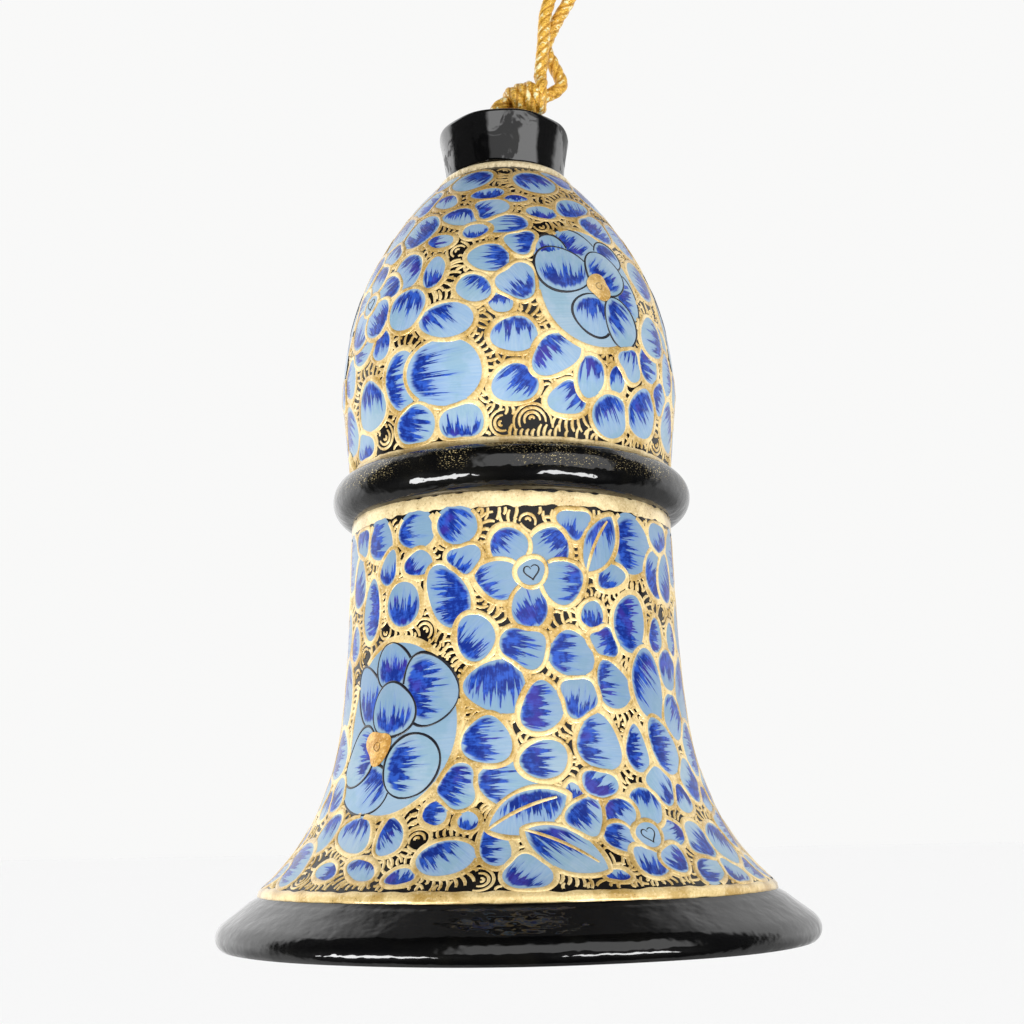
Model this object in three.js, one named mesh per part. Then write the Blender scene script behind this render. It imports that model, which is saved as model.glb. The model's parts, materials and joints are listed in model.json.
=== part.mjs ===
// Hanging bell ornament: a thin lacquered shell moulded in two halves, a crown cap,
// two black beads, a cord loop to hang it by, and a loose clapper inside.
// Millimetres, +Z up. The origin is at the top of the loop, where a hook holds it.
import * as THREE from 'three';

// Overall sizes
const BELL_HEIGHT = 74.6; // rim plane to the top of the crown cap
const HANG_DROP = 63.4; // top of the cord loop down to the top of the crown cap
const WALL = 1.6; // thickness of the moulded shells
const GAP = 0.3; // clearance between neighbouring pieces
const AROUND = 40; // facets around a turned piece
const AROUND_SMALL = 16; // facets around a small knot or hole

// Heights up from the rim plane
const WAIST_JOINT = 38.6; // where the dome and the skirt meet
const DOME_TOP = 69.2; // seat of the crown cap
const SWAY_CENTRE = 78.3; // centre of the hanger knot
const CLAPPER_PIVOT = 60.4; // centre of the clapper's tie
const BEAD_CENTRE = 12; // centre of the clapper bead

// Crown cap
const CAP_FOOT_RADIUS = 5.5;
const CAP_TOP_RADIUS = 6.25;
const CAP_EDGE = 0.45; // rounding of its top edge
const CAP_SPIGOT_RADIUS = 3.3;
const CAP_SPIGOT_LENGTH = 2.4;
const CORD_HOLE_RADIUS = 1.6;
const DOME_HOLE_RADIUS = CAP_SPIGOT_RADIUS + GAP;

// Outer outline of the dome, from the waist joint up: radius, height
const DOME_OUTLINE = [
  [14.35, WAIST_JOINT + GAP / 2],
  [14.95, 44.5],
  [15.22, 48.5],
  [14.45, 54.5],
  [12.45, 60],
  [8.8, 66],
  [5.6, DOME_TOP],
];

// Outer outline of the skirt, from the rim up
const SKIRT_OUTLINE = [
  [22.05, 4.3],
  [18.8, 7.9],
  [16.5, 12.5],
  [15.15, 18.2],
  [14.55, 27],
  [14.3, WAIST_JOINT - GAP / 2],
];

// Outer outline of the rim bead, from the skirt down and under
const RIM_OUTLINE = [
  [22.25, 4.08],
  [23.8, 2.85],
  [24.9, 2.05],
  [25.4, 1.2],
  [25.3, 0.45],
  [24.9, 0],
];
const RIM_FLAT_INNER = 23; // inner edge of the flat underside
const RIM_INNER_RISE = 0.8; // height of the chamfer inside it
const RIM_INNER_RUN = 0.7;

// Waist bead, a half-round roll over the joint
const WAIST_BORE = 14.85;
const WAIST_RADIUS = 16.15;
const WAIST_CENTRE = 38.15;
const WAIST_HALF_HEIGHT = 2.05;
const WAIST_LIP = 0.1; // upright step where the roll meets the wall

// Paper strip pasted over the joint inside
const STRIP_OUTER = 12.4;
const STRIP_THICKNESS = 0.5;
const STRIP_BOTTOM = 34.6;
const STRIP_HEIGHT = 7.8;

// Cord, knots and washer
const CORD_DIAMETER = 1.25;
const CORD_SIDES = 8;
const LOOP_STEPS = 62;
const HANGER_KNOT = { halfLength: 2, radius: 1.9, offset: 2 };
const STEM_TOP = SWAY_CENTRE - 3.2; // far enough below the knot to swing past it
const STEM_BOTTOM = 65.8;
const WASHER = { radius: 4.2, bore: 1.5, top: 66.8, thickness: 0.8 };
const STOP_KNOT_RADIUS = 1.75;

// Clapper
const TIE_RADIUS = 1.2;
const CLAPPER_CORD_RADIUS = 0.5;
const BEAD_RADIUS = 4.75;
const BEAD_BORE = 0.85;
const END_KNOT_RADIUS = 1.4;

// Centreline of the hanging loop, from its left end at the knot over the top to its right end.
// x, y, and height up from the rim plane.
const TOP = BELL_HEIGHT + HANG_DROP + CORD_DIAMETER / 2;
const LOOP_ROUTE = [
  [3.6, -0.5, 80.8],
  [3.75, -0.6, 82.2],
  [4, -0.66, 84.4],
  [4.25, -0.6, 87.4],
  [5, -0.5, 90.5],
  [5.6, -0.3, 96],
  [3.8, -0.1, 103.5],
  [0.2, 0, 111],
  [-3.3, 0, 118.5],
  [-5.6, 0, 125.5],
  [-5.8, 0, 131.5],
  [-3.9, 0, 136.4],
  [0, 0, TOP],
  [4.2, 0, 136.5],
  [7.1, 0, 132],
  [8.6, 0, 126],
  [9.3, 0.05, 119],
  [9.6, 0.1, 111.5],
  [9.3, 0.2, 104],
  [8.5, 0.35, 97],
  [7.2, 0.5, 91],
  [5.35, 0.6, 87.4],
  [4.3, 0.68, 84.8],
  [4.9, 0.6, 82.9],
  [5.55, 0.5, 81.3],
  [5.7, 0.42, 80.5],
  [5.3, 0.36, 79.9],
  [4.85, 0.33, 79.6],
];

const COLOURS = {
  blackLacquer: { color: 0x0c0c0f, roughness: 0.12, metalness: 0 },
  bluePaint: { color: 0x6f97cc, roughness: 0.2, metalness: 0 },
  goldCord: { color: 0xd0a038, roughness: 0.4, metalness: 0.7 },
  plainPaper: { color: 0xb9a789, roughness: 0.9, metalness: 0 },
  card: { color: 0x8f7a5c, roughness: 0.9, metalness: 0 },
  twine: { color: 0xd8ccb0, roughness: 0.85, metalness: 0 },
  beadLacquer: { color: 0x26367f, roughness: 0.2, metalness: 0 },
};

function piece(name, geometry, colour) {
  const mesh = new THREE.Mesh(geometry, new THREE.MeshStandardMaterial(COLOURS[colour]));
  mesh.name = name;
  return mesh;
}

// A closed profile of [radius, height] points, anticlockwise, turned about Z.
function turned(profile, around = AROUND) {
  const points = profile.map(([radius, height]) => new THREE.Vector2(radius, height));
  const geometry = new THREE.LatheGeometry(points, around);
  return geometry.rotateX(Math.PI / 2);
}

// A ring of rectangular section.
function turnedRing(inner, outer, bottom, top, around = AROUND) {
  return turned([[inner, bottom], [outer, bottom], [outer, top], [inner, top], [inner, bottom]], around);
}

function knotBall(radius, height) {
  return new THREE.SphereGeometry(radius, AROUND_SMALL, 8).rotateX(Math.PI / 2).translate(0, 0, height);
}

// The points of an outline, with the parallel line one wall thickness inside it.
function shellOutline(outline, steps) {
  const curve = new THREE.SplineCurve(outline.map(([radius, height]) => new THREE.Vector2(radius, height)));
  const outer = [];
  const inner = [];
  for (let step = 0; step <= steps; step++) {
    const point = curve.getPoint(step / steps);
    const tangent = curve.getTangent(step / steps);
    outer.push([point.x, point.y]);
    inner.push([point.x - tangent.y * WALL, point.y + tangent.x * WALL]);
  }
  return { outer, inner };
}

function domeShell() {
  const { outer, inner } = shellOutline(DOME_OUTLINE, 10);
  const lining = inner.filter(([radius]) => radius > DOME_HOLE_RADIUS);
  const ceiling = lining[lining.length - 1][1];
  const profile = [...outer, [DOME_HOLE_RADIUS, DOME_TOP], [DOME_HOLE_RADIUS, ceiling], ...lining.reverse(), outer[0]];
  return piece('dome_shell', turned(profile), 'bluePaint');
}

function skirtShell() {
  const { outer, inner } = shellOutline(SKIRT_OUTLINE, 9);
  const profile = [...outer, ...inner.reverse(), outer[0]];
  return piece('skirt_shell', turned(profile), 'bluePaint');
}

function rimRing() {
  const curve = new THREE.SplineCurve(RIM_OUTLINE.map(([radius, height]) => new THREE.Vector2(radius, height)));
  const outer = curve.getPoints(7).map((point) => [point.x, point.y]).reverse();
  const slope = (SKIRT_OUTLINE[1][1] - SKIRT_OUTLINE[0][1]) / (SKIRT_OUTLINE[0][0] - SKIRT_OUTLINE[1][0]);
  const angle = Math.atan(slope);
  const [topRadius, topHeight] = RIM_OUTLINE[0];
  const shoulder = [topRadius - WALL * Math.sin(angle), topHeight - WALL * Math.cos(angle)];
  const profile = [...outer, shoulder, [RIM_FLAT_INNER - RIM_INNER_RUN, RIM_INNER_RISE], [RIM_FLAT_INNER, 0], outer[0]];
  return piece('rim_ring', turned(profile), 'blackLacquer');
}

function waistRing() {
  const profile = [[WAIST_BORE, WAIST_CENTRE - WAIST_HALF_HEIGHT]];
  const facets = 6;
  for (let facet = 0; facet <= facets; facet++) {
    const angle = (facet / facets - 0.5) * Math.PI;
    const radius = WAIST_BORE + WAIST_LIP + (WAIST_RADIUS - WAIST_BORE - WAIST_LIP) * Math.cos(angle);
    profile.push([radius, WAIST_CENTRE + WAIST_HALF_HEIGHT * Math.sin(angle)]);
  }
  profile.push([WAIST_BORE, WAIST_CENTRE + WAIST_HALF_HEIGHT], profile[0]);
  return piece('waist_ring', turned(profile), 'blackLacquer');
}

function jointStrip() {
  const ring = turnedRing(STRIP_OUTER - STRIP_THICKNESS, STRIP_OUTER, STRIP_BOTTOM, STRIP_BOTTOM + STRIP_HEIGHT);
  return piece('joint_strip', ring, 'plainPaper');
}

function crownCap() {
  const foot = DOME_TOP + GAP;
  const spigotEnd = foot - CAP_SPIGOT_LENGTH;
  const profile = [
    [CORD_HOLE_RADIUS, spigotEnd],
    [CAP_SPIGOT_RADIUS, spigotEnd],
    [CAP_SPIGOT_RADIUS, foot],
    [CAP_FOOT_RADIUS, foot],
  ];
  const facets = 4;
  for (let facet = 0; facet <= facets; facet++) {
    const angle = (facet / facets) * Math.PI / 2;
    const radius = CAP_TOP_RADIUS - CAP_EDGE + CAP_EDGE * Math.cos(angle);
    profile.push([radius, BELL_HEIGHT - CAP_EDGE + CAP_EDGE * Math.sin(angle)]);
  }
  profile.push([CORD_HOLE_RADIUS, BELL_HEIGHT], profile[0]);
  return piece('crown_cap', turned(profile), 'blackLacquer');
}

function hangerLoop() {
  const route = new THREE.CatmullRomCurve3(LOOP_ROUTE.map(([x, y, z]) => new THREE.Vector3(x, y, z)));
  const section = new THREE.Shape();
  section.absarc(0, 0, CORD_DIAMETER / 2, 0, 2 * Math.PI);
  const options = { steps: LOOP_STEPS, curveSegments: CORD_SIDES, bevelEnabled: false, extrudePath: route };
  return piece('hanger_loop', new THREE.ExtrudeGeometry(section, options), 'goldCord');
}

function hangerKnot() {
  const { halfLength, radius, offset } = HANGER_KNOT;
  const ball = new THREE.SphereGeometry(1, 18, 12).rotateX(Math.PI / 2).scale(halfLength, radius, radius);
  return piece('hanger_knot', ball.translate(offset, 0, SWAY_CENTRE), 'goldCord');
}

// The two strands side by side that pass down through the crown.
function throughCord() {
  const radius = CORD_DIAMETER / 2;
  const section = new THREE.Shape();
  section.absarc(radius, 0, radius, -Math.PI / 2, Math.PI / 2);
  section.absarc(-radius, 0, radius, Math.PI / 2, 1.5 * Math.PI);
  const options = { depth: STEM_TOP - STEM_BOTTOM, curveSegments: 6, bevelEnabled: false };
  const geometry = new THREE.ExtrudeGeometry(section, options).translate(0, 0, STEM_BOTTOM);
  return piece('through_cord', geometry, 'goldCord');
}

function stopWasher() {
  const { radius, bore, top, thickness } = WASHER;
  return piece('stop_washer', turnedRing(bore, radius, top - thickness, top, 32), 'card');
}

function stopKnot() {
  return piece('stop_knot', knotBall(STOP_KNOT_RADIUS, STEM_BOTTOM - GAP - STOP_KNOT_RADIUS), 'goldCord');
}

function clapperTie() {
  return piece('clapper_tie', knotBall(TIE_RADIUS, CLAPPER_PIVOT), 'twine');
}

function clapperCord() {
  const top = CLAPPER_PIVOT - TIE_RADIUS - GAP;
  const bottom = BEAD_CENTRE - BEAD_RADIUS;
  const geometry = new THREE.CylinderGeometry(CLAPPER_CORD_RADIUS, CLAPPER_CORD_RADIUS, top - bottom, CORD_SIDES);
  return piece('clapper_cord', geometry.rotateX(Math.PI / 2).translate(0, 0, (top + bottom) / 2), 'twine');
}

// A ball with a straight hole for the cord.
function clapperBead() {
  const start = Math.asin(BEAD_BORE / BEAD_RADIUS);
  const facets = 12;
  const profile = [];
  for (let facet = 0; facet <= facets; facet++) {
    const angle = start + (facet / facets) * (Math.PI - 2 * start);
    profile.push([BEAD_RADIUS * Math.sin(angle), BEAD_CENTRE - BEAD_RADIUS * Math.cos(angle)]);
  }
  profile.push(profile[0]);
  return piece('clapper_bead', turned(profile, 24), 'beadLacquer');
}

function clapperEndKnot() {
  const height = BEAD_CENTRE - BEAD_RADIUS - GAP - END_KNOT_RADIUS;
  return piece('clapper_end_knot', knotBall(END_KNOT_RADIUS, height), 'twine');
}

const bell = new THREE.Group();
bell.add(crownCap(), domeShell(), waistRing(), skirtShell(), rimRing(), jointStrip());

const hanger = new THREE.Group();
hanger.add(hangerLoop(), hangerKnot(), throughCord(), stopWasher(), stopKnot());

const clapper = new THREE.Group();
clapper.add(clapperTie(), clapperCord(), clapperBead(), clapperEndKnot());

const ornament = new THREE.Group();
ornament.add(hanger, bell, clapper);
ornament.position.z = -(BELL_HEIGHT + HANG_DROP);

export default ornament;
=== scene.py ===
import json
import math

import bpy
import numpy as np
from mathutils import Matrix, kdtree
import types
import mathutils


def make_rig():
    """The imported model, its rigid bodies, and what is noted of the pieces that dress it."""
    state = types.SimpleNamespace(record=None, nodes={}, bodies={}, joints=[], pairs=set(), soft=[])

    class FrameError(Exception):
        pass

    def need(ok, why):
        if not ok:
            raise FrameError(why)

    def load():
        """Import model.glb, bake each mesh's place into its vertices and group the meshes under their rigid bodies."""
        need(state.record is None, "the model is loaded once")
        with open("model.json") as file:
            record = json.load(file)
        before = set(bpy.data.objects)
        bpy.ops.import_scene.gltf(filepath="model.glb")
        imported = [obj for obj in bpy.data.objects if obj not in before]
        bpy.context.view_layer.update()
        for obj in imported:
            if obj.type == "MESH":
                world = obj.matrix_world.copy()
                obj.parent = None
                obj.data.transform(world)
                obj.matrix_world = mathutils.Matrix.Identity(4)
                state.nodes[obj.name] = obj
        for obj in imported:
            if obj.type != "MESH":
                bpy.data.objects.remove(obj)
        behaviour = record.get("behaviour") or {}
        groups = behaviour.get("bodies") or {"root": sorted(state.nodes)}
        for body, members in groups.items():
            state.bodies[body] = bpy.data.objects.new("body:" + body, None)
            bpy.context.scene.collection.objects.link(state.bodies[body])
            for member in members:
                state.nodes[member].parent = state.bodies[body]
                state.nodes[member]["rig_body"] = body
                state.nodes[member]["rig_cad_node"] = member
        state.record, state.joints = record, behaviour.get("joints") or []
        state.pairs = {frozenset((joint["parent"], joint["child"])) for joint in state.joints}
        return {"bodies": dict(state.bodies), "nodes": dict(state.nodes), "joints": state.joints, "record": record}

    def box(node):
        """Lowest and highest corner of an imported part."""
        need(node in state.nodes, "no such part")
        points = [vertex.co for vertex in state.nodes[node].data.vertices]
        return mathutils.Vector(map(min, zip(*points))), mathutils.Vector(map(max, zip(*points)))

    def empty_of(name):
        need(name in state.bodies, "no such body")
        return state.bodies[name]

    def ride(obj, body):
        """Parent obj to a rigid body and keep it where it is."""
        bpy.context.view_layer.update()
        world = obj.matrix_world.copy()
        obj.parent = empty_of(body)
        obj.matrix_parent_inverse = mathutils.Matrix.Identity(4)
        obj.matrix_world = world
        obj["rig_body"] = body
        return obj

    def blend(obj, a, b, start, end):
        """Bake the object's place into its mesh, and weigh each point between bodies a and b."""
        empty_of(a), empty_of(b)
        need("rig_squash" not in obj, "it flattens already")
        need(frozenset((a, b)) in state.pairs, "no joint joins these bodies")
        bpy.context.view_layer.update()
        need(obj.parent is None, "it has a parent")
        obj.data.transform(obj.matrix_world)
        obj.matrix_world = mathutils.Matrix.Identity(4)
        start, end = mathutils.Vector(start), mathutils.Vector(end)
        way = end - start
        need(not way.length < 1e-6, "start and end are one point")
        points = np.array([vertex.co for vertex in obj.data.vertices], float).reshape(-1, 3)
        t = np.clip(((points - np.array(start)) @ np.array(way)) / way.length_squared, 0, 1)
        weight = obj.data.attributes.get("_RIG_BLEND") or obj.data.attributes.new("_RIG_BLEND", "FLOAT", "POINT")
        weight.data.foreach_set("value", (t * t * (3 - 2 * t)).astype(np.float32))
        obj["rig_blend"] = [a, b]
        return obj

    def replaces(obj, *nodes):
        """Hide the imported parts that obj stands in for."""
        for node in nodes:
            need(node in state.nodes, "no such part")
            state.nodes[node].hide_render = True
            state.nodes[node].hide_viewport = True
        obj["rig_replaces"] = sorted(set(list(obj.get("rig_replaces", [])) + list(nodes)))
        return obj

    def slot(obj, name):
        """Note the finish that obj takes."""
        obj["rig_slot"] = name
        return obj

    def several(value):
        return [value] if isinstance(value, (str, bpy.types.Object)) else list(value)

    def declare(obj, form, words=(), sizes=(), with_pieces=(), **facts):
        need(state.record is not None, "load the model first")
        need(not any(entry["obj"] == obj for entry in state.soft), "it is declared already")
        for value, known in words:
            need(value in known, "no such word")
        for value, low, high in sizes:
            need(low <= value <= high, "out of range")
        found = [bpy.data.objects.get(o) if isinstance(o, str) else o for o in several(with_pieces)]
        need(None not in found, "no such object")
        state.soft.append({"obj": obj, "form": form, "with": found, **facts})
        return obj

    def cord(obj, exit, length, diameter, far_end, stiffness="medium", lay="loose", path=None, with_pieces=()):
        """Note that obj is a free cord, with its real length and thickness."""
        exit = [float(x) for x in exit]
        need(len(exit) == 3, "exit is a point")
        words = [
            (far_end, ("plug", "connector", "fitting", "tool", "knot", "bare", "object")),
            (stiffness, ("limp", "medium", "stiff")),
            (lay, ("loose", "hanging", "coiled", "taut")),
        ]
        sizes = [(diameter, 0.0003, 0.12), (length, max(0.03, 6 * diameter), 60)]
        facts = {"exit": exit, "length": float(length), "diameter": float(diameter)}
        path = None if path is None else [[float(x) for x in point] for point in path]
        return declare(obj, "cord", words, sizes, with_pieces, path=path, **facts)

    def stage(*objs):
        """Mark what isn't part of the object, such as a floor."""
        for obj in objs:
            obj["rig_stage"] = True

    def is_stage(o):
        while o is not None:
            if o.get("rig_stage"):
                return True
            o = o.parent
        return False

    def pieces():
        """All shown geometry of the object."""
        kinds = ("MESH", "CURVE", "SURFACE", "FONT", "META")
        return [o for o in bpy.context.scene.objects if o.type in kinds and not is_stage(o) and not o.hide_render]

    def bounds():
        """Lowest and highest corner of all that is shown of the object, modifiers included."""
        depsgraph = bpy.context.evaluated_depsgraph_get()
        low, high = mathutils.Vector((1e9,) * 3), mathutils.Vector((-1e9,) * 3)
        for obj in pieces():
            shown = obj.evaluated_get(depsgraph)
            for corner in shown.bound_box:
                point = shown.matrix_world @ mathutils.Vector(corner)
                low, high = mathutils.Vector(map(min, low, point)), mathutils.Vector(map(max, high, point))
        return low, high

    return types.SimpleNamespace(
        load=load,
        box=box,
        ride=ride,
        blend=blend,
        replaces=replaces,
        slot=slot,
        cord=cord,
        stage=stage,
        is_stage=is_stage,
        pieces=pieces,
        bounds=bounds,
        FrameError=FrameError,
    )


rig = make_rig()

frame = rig.load()
cad_low, cad_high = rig.bounds()

# Lengths below are in millimetres, and heights are up from the rim plane, unless they end in _M.
MM = 0.001
RIM_PLANE_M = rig.box("rim_ring")[0].z


def box_mm(node):
    """Low and high corner of a CAD node, in millimetres from the axis and the rim plane."""
    return [(np.array(corner) - [0, 0, RIM_PLANE_M]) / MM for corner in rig.box(node)]


def span(node):
    """Radius, bottom height and top height of a turned CAD node."""
    low, high = box_mm(node)
    return high[0], low[2], high[2]


RIM_TOP = span("rim_ring")[2]
WAIST_RADIUS, WAIST_BOTTOM, WAIST_TOP = span("waist_ring")
CAP_RADIUS, CAP_SPIGOT_END, CAP_TOP = span("crown_cap")
DOME_TOP = span("dome_shell")[2]
SKIRT_BOTTOM = span("skirt_shell")[1]
WAIST_MIDDLE = (WAIST_BOTTOM + WAIST_TOP) / 2
CAP_HOLE = 1.6
CORD_DIAMETER = 1.25
CORD_RADIUS = CORD_DIAMETER / 2


def add_object(name, data):
    obj = bpy.data.objects.new(name, data)
    bpy.context.scene.collection.objects.link(obj)
    return obj


# ------------------------------------------------------------------ camera

LENS = 50
CAMERA_DISTANCE = 126.5
CAMERA_HEIGHT = 8.84
CAMERA_PITCH = 12.77
CAMERA_YAW = -0.04
CAMERA_ROLL = -1.04


def make_camera():
    data = bpy.data.cameras.new("camera")
    data.lens = LENS
    data.clip_start = 0.005
    data.clip_end = 100
    camera = add_object("camera", data)
    camera.location = (0, -CAMERA_DISTANCE * MM, CAMERA_HEIGHT * MM + RIM_PLANE_M)
    camera.rotation_mode = "XYZ"
    pitch = Matrix.Rotation(math.radians(90 + CAMERA_PITCH), 3, "X")
    yaw = Matrix.Rotation(math.radians(CAMERA_YAW), 3, "Z")
    roll = Matrix.Rotation(math.radians(CAMERA_ROLL), 3, "Z")
    turn = yaw @ pitch @ roll
    camera.rotation_euler = turn.to_euler("XYZ")
    bpy.context.scene.camera = camera


make_camera()


# ------------------------------------------------------------------ mesh helpers

LEAST_FACING = 0.3  # how squarely a face looks at or away from the axis to be part of a wall
LEAST_RISE = 0.05  # between one point of a wall's line and the next


def to_frame(points):
    """Points in millimetres above the rim plane, as row frame metres."""
    points = np.asarray(points, float) * MM
    points[..., 2] += RIM_PLANE_M
    return points


def make_object(name, points, faces, materials, body, slot, nodes=(), attributes=None, face_material=None):
    """A mesh object from points in millimetres. It rides on a CAD body, unless the body is None."""
    mesh = bpy.data.meshes.new(name)
    mesh.from_pydata(to_frame(points).tolist(), [], faces)
    mesh.polygons.foreach_set("use_smooth", [True] * len(mesh.polygons))
    for attribute, values in (attributes or {}).items():
        layer = mesh.attributes.new(attribute, "FLOAT_VECTOR", "POINT")
        layer.data.foreach_set("vector", np.asarray(values, np.float32).ravel())
    for material in materials:
        mesh.materials.append(material)
    if face_material is not None:
        mesh.polygons.foreach_set("material_index", face_material)
    mesh.update()
    obj = add_object(name, mesh)
    if body:
        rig.ride(obj, body)
    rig.slot(obj, slot)
    if nodes:
        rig.replaces(obj, *nodes)
    return obj


def circle(count):
    """Angles once round, evenly spaced."""
    return np.linspace(0, 2 * math.pi, count, endpoint=False)


def unit(vectors):
    return vectors / np.linalg.norm(vectors, axis=-1, keepdims=True)


def lengths_along(points):
    """How far along the polyline each point is."""
    return np.concatenate([[0], np.cumsum(np.linalg.norm(np.diff(points, axis=0), axis=1))])


def spline(points, per_span=12):
    """A Catmull-Rom curve through the points, as a dense polyline."""
    points = np.asarray(points, float)
    padded = np.vstack([2 * points[0] - points[1], points, 2 * points[-1] - points[-2]])
    out = []
    for i in range(1, len(padded) - 2):
        a, b, c, d = padded[i - 1 : i + 3]
        for t in np.arange(per_span) / per_span:
            bend = (2 * a - 5 * b + 4 * c - d) * t**2 + (3 * b - a - 3 * c + d) * t**3
            out.append(0.5 * (2 * b + (c - a) * t + bend))
    return np.array(out + [points[-1]])


def resample(points, step):
    """The polyline again with points about step apart."""
    lengths = lengths_along(points)
    count = max(2, int(round(lengths[-1] / step)) + 1)
    at = np.linspace(0, lengths[-1], count)
    return np.stack([np.interp(at, lengths, column) for column in points.T], axis=1)


def grid_faces(rows, columns, wrap_rows=False, wrap_columns=False, flip=False):
    """Quads over a rows by columns grid of points."""
    r = np.arange(rows if wrap_rows else rows - 1)
    c = np.arange(columns if wrap_columns else columns - 1)
    r, c = (index.ravel() for index in np.meshgrid(r, c, indexing="ij"))
    r1, c1 = (r + 1) % rows, (c + 1) % columns
    corners = [r * columns + c, r * columns + c1, r1 * columns + c1, r1 * columns + c]
    return np.stack(corners[::-1] if flip else corners, axis=1).tolist()


def lathe(profile, around=160, uneven=0.0, seed=0, wave=5):
    """Turns a closed anticlockwise profile of (radius, height) about the axis.

    uneven moves the surface in and out as hand work does, in up to wave swells round the axis.
    """
    profile = np.asarray(profile, float)
    angles = circle(around)
    rng = np.random.default_rng(seed)
    radius = profile[:, None, 0] + np.zeros(around)
    height = profile[:, None, 1] + np.zeros(around)
    for _ in range(6 if uneven else 0):
        turns, phase, rise = rng.integers(1, wave + 1), rng.uniform(0, 6.28), rng.uniform(-0.5, 0.5)
        swell = uneven * rng.uniform(0.3, 1) * np.sin(turns * angles + phase + rise * profile[:, None, 1])
        radius = radius + swell * 0.6
        height = height + swell * 0.35
    points = np.stack([radius * np.sin(angles), -radius * np.cos(angles), height], axis=-1)
    return points.reshape(-1, 3), grid_faces(len(profile), around, True, True)


def wall_points(node, outward):
    """The outer or inner (radius, height) line of a turned CAD node, from bottom to top."""
    mesh = frame["nodes"][node].data
    found = set()
    for polygon in mesh.polygons:
        centre, normal = polygon.center, polygon.normal
        reach = math.hypot(centre.x, centre.y)
        facing = (centre.x * normal.x + centre.y * normal.y) / reach * (1 if outward else -1)
        if facing < LEAST_FACING:
            continue
        for index in polygon.vertices:
            co = mesh.vertices[index].co
            radius = math.hypot(co.x, co.y) / MM
            found.add((round(radius, 2), round((co.z - RIM_PLANE_M) / MM, 2)))
    ordered = sorted(found, key=lambda point: point[1])
    line = [ordered[0]]
    for point in ordered[1:]:
        if point[1] - line[-1][1] > LEAST_RISE:
            line.append(point)
    return np.array(line)


# ------------------------------------------------------------------ materials


class Nodes:
    """Short calls that add nodes to a shader tree. Values are numbers, colours or other nodes' sockets."""

    def __init__(self, tree):
        self.tree = tree

    def link(self, value, socket):
        if isinstance(value, bpy.types.NodeSocket):
            self.tree.links.new(value, socket)
        else:
            socket.default_value = value

    def add(self, kind, inputs=(), **settings):
        """A new node. Its inputs are filled in order, or by number or name from a dict."""
        node = self.tree.nodes.new("ShaderNode" + kind)
        for name, value in settings.items():
            setattr(node, name, value)
        for key, value in inputs.items() if isinstance(inputs, dict) else enumerate(inputs):
            self.link(value, node.inputs[key])
        return node

    def split(self, vector):
        return self.add("SeparateXYZ", [vector]).outputs

    def attribute(self, name):
        return self.split(self.add("Attribute", attribute_name=name).outputs["Vector"])

    def place(self):
        return self.add("TexCoord").outputs["Object"]

    def combine(self, x, y, z):
        return self.add("CombineXYZ", [x, y, z]).outputs[0]

    def math(self, operation, *values):
        return self.add("Math", values, operation=operation).outputs[0]

    def times(self, a, b):
        return self.math("MULTIPLY", a, b)

    def scaled(self, value, factor, offset):
        return self.math("MULTIPLY_ADD", value, factor, offset)

    def height_over(self, place, level_m):
        return self.math("SUBTRACT", self.split(place)[2], level_m)

    def stretch(self, vector, factors):
        return self.add("VectorMath", [vector, factors], operation="MULTIPLY").outputs[0]

    def noise(self, vector, scale, detail=2.0, rough=0.5, warp=0.0):
        inputs = {"Vector": vector, "Scale": scale, "Detail": detail, "Roughness": rough, "Distortion": warp}
        return self.add("TexNoise", inputs).outputs["Fac"]

    def step(self, value, low, high, to_low=0.0, to_high=1.0):
        inputs = [value, low, high, to_low, to_high]
        return self.add("MapRange", inputs, interpolation_type="SMOOTHSTEP").outputs[0]

    def mix(self, factor, a, b):
        return self.add("Mix", {0: factor, 6: a, 7: b}, data_type="RGBA").outputs[2]

    def ramp(self, value, stops):
        """A colour ramp through (position, level) stops."""
        node = self.add("ValToRGB", [value])
        elements = node.color_ramp.elements
        elements.remove(elements[-1])
        for index, (position, level) in enumerate(stops):
            element = elements[0] if index == 0 else elements.new(position)
            element.position = position
            element.color = (level, level, level, 1)
        return node.outputs[0]


class Shader(Nodes):
    """A material with one Principled surface."""

    def __init__(self, name, **settings):
        self.material = bpy.data.materials.new(name)
        self.material.use_nodes = True
        super().__init__(self.material.node_tree)
        self.surface = self.tree.nodes["Principled BSDF"].inputs
        for socket, value in settings.items():
            self.surface[socket.replace("_", " ")].default_value = value

    def finish(self, colour, height, depth_m, strength, rough=None):
        """Joins colour, bump and any varying roughness to the surface, and gives the material."""
        self.link(colour, self.surface["Base Color"])
        if rough is not None:
            self.link(rough, self.surface["Roughness"])
        bump = self.add("Bump", {"Height": height, "Distance": depth_m, "Strength": strength}).outputs[0]
        for socket in ("Normal", "Coat Normal"):
            self.link(bump, self.surface[socket])
        return self.material


def paint_shader(name, **settings):
    """Paint under the varnish that covers the whole bell."""
    varnish = {"Coat_Weight": 0.7, "Coat_IOR": 1.36, "Coat_Roughness": 0.05}
    return Shader(name, **{**varnish, **settings})


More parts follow.
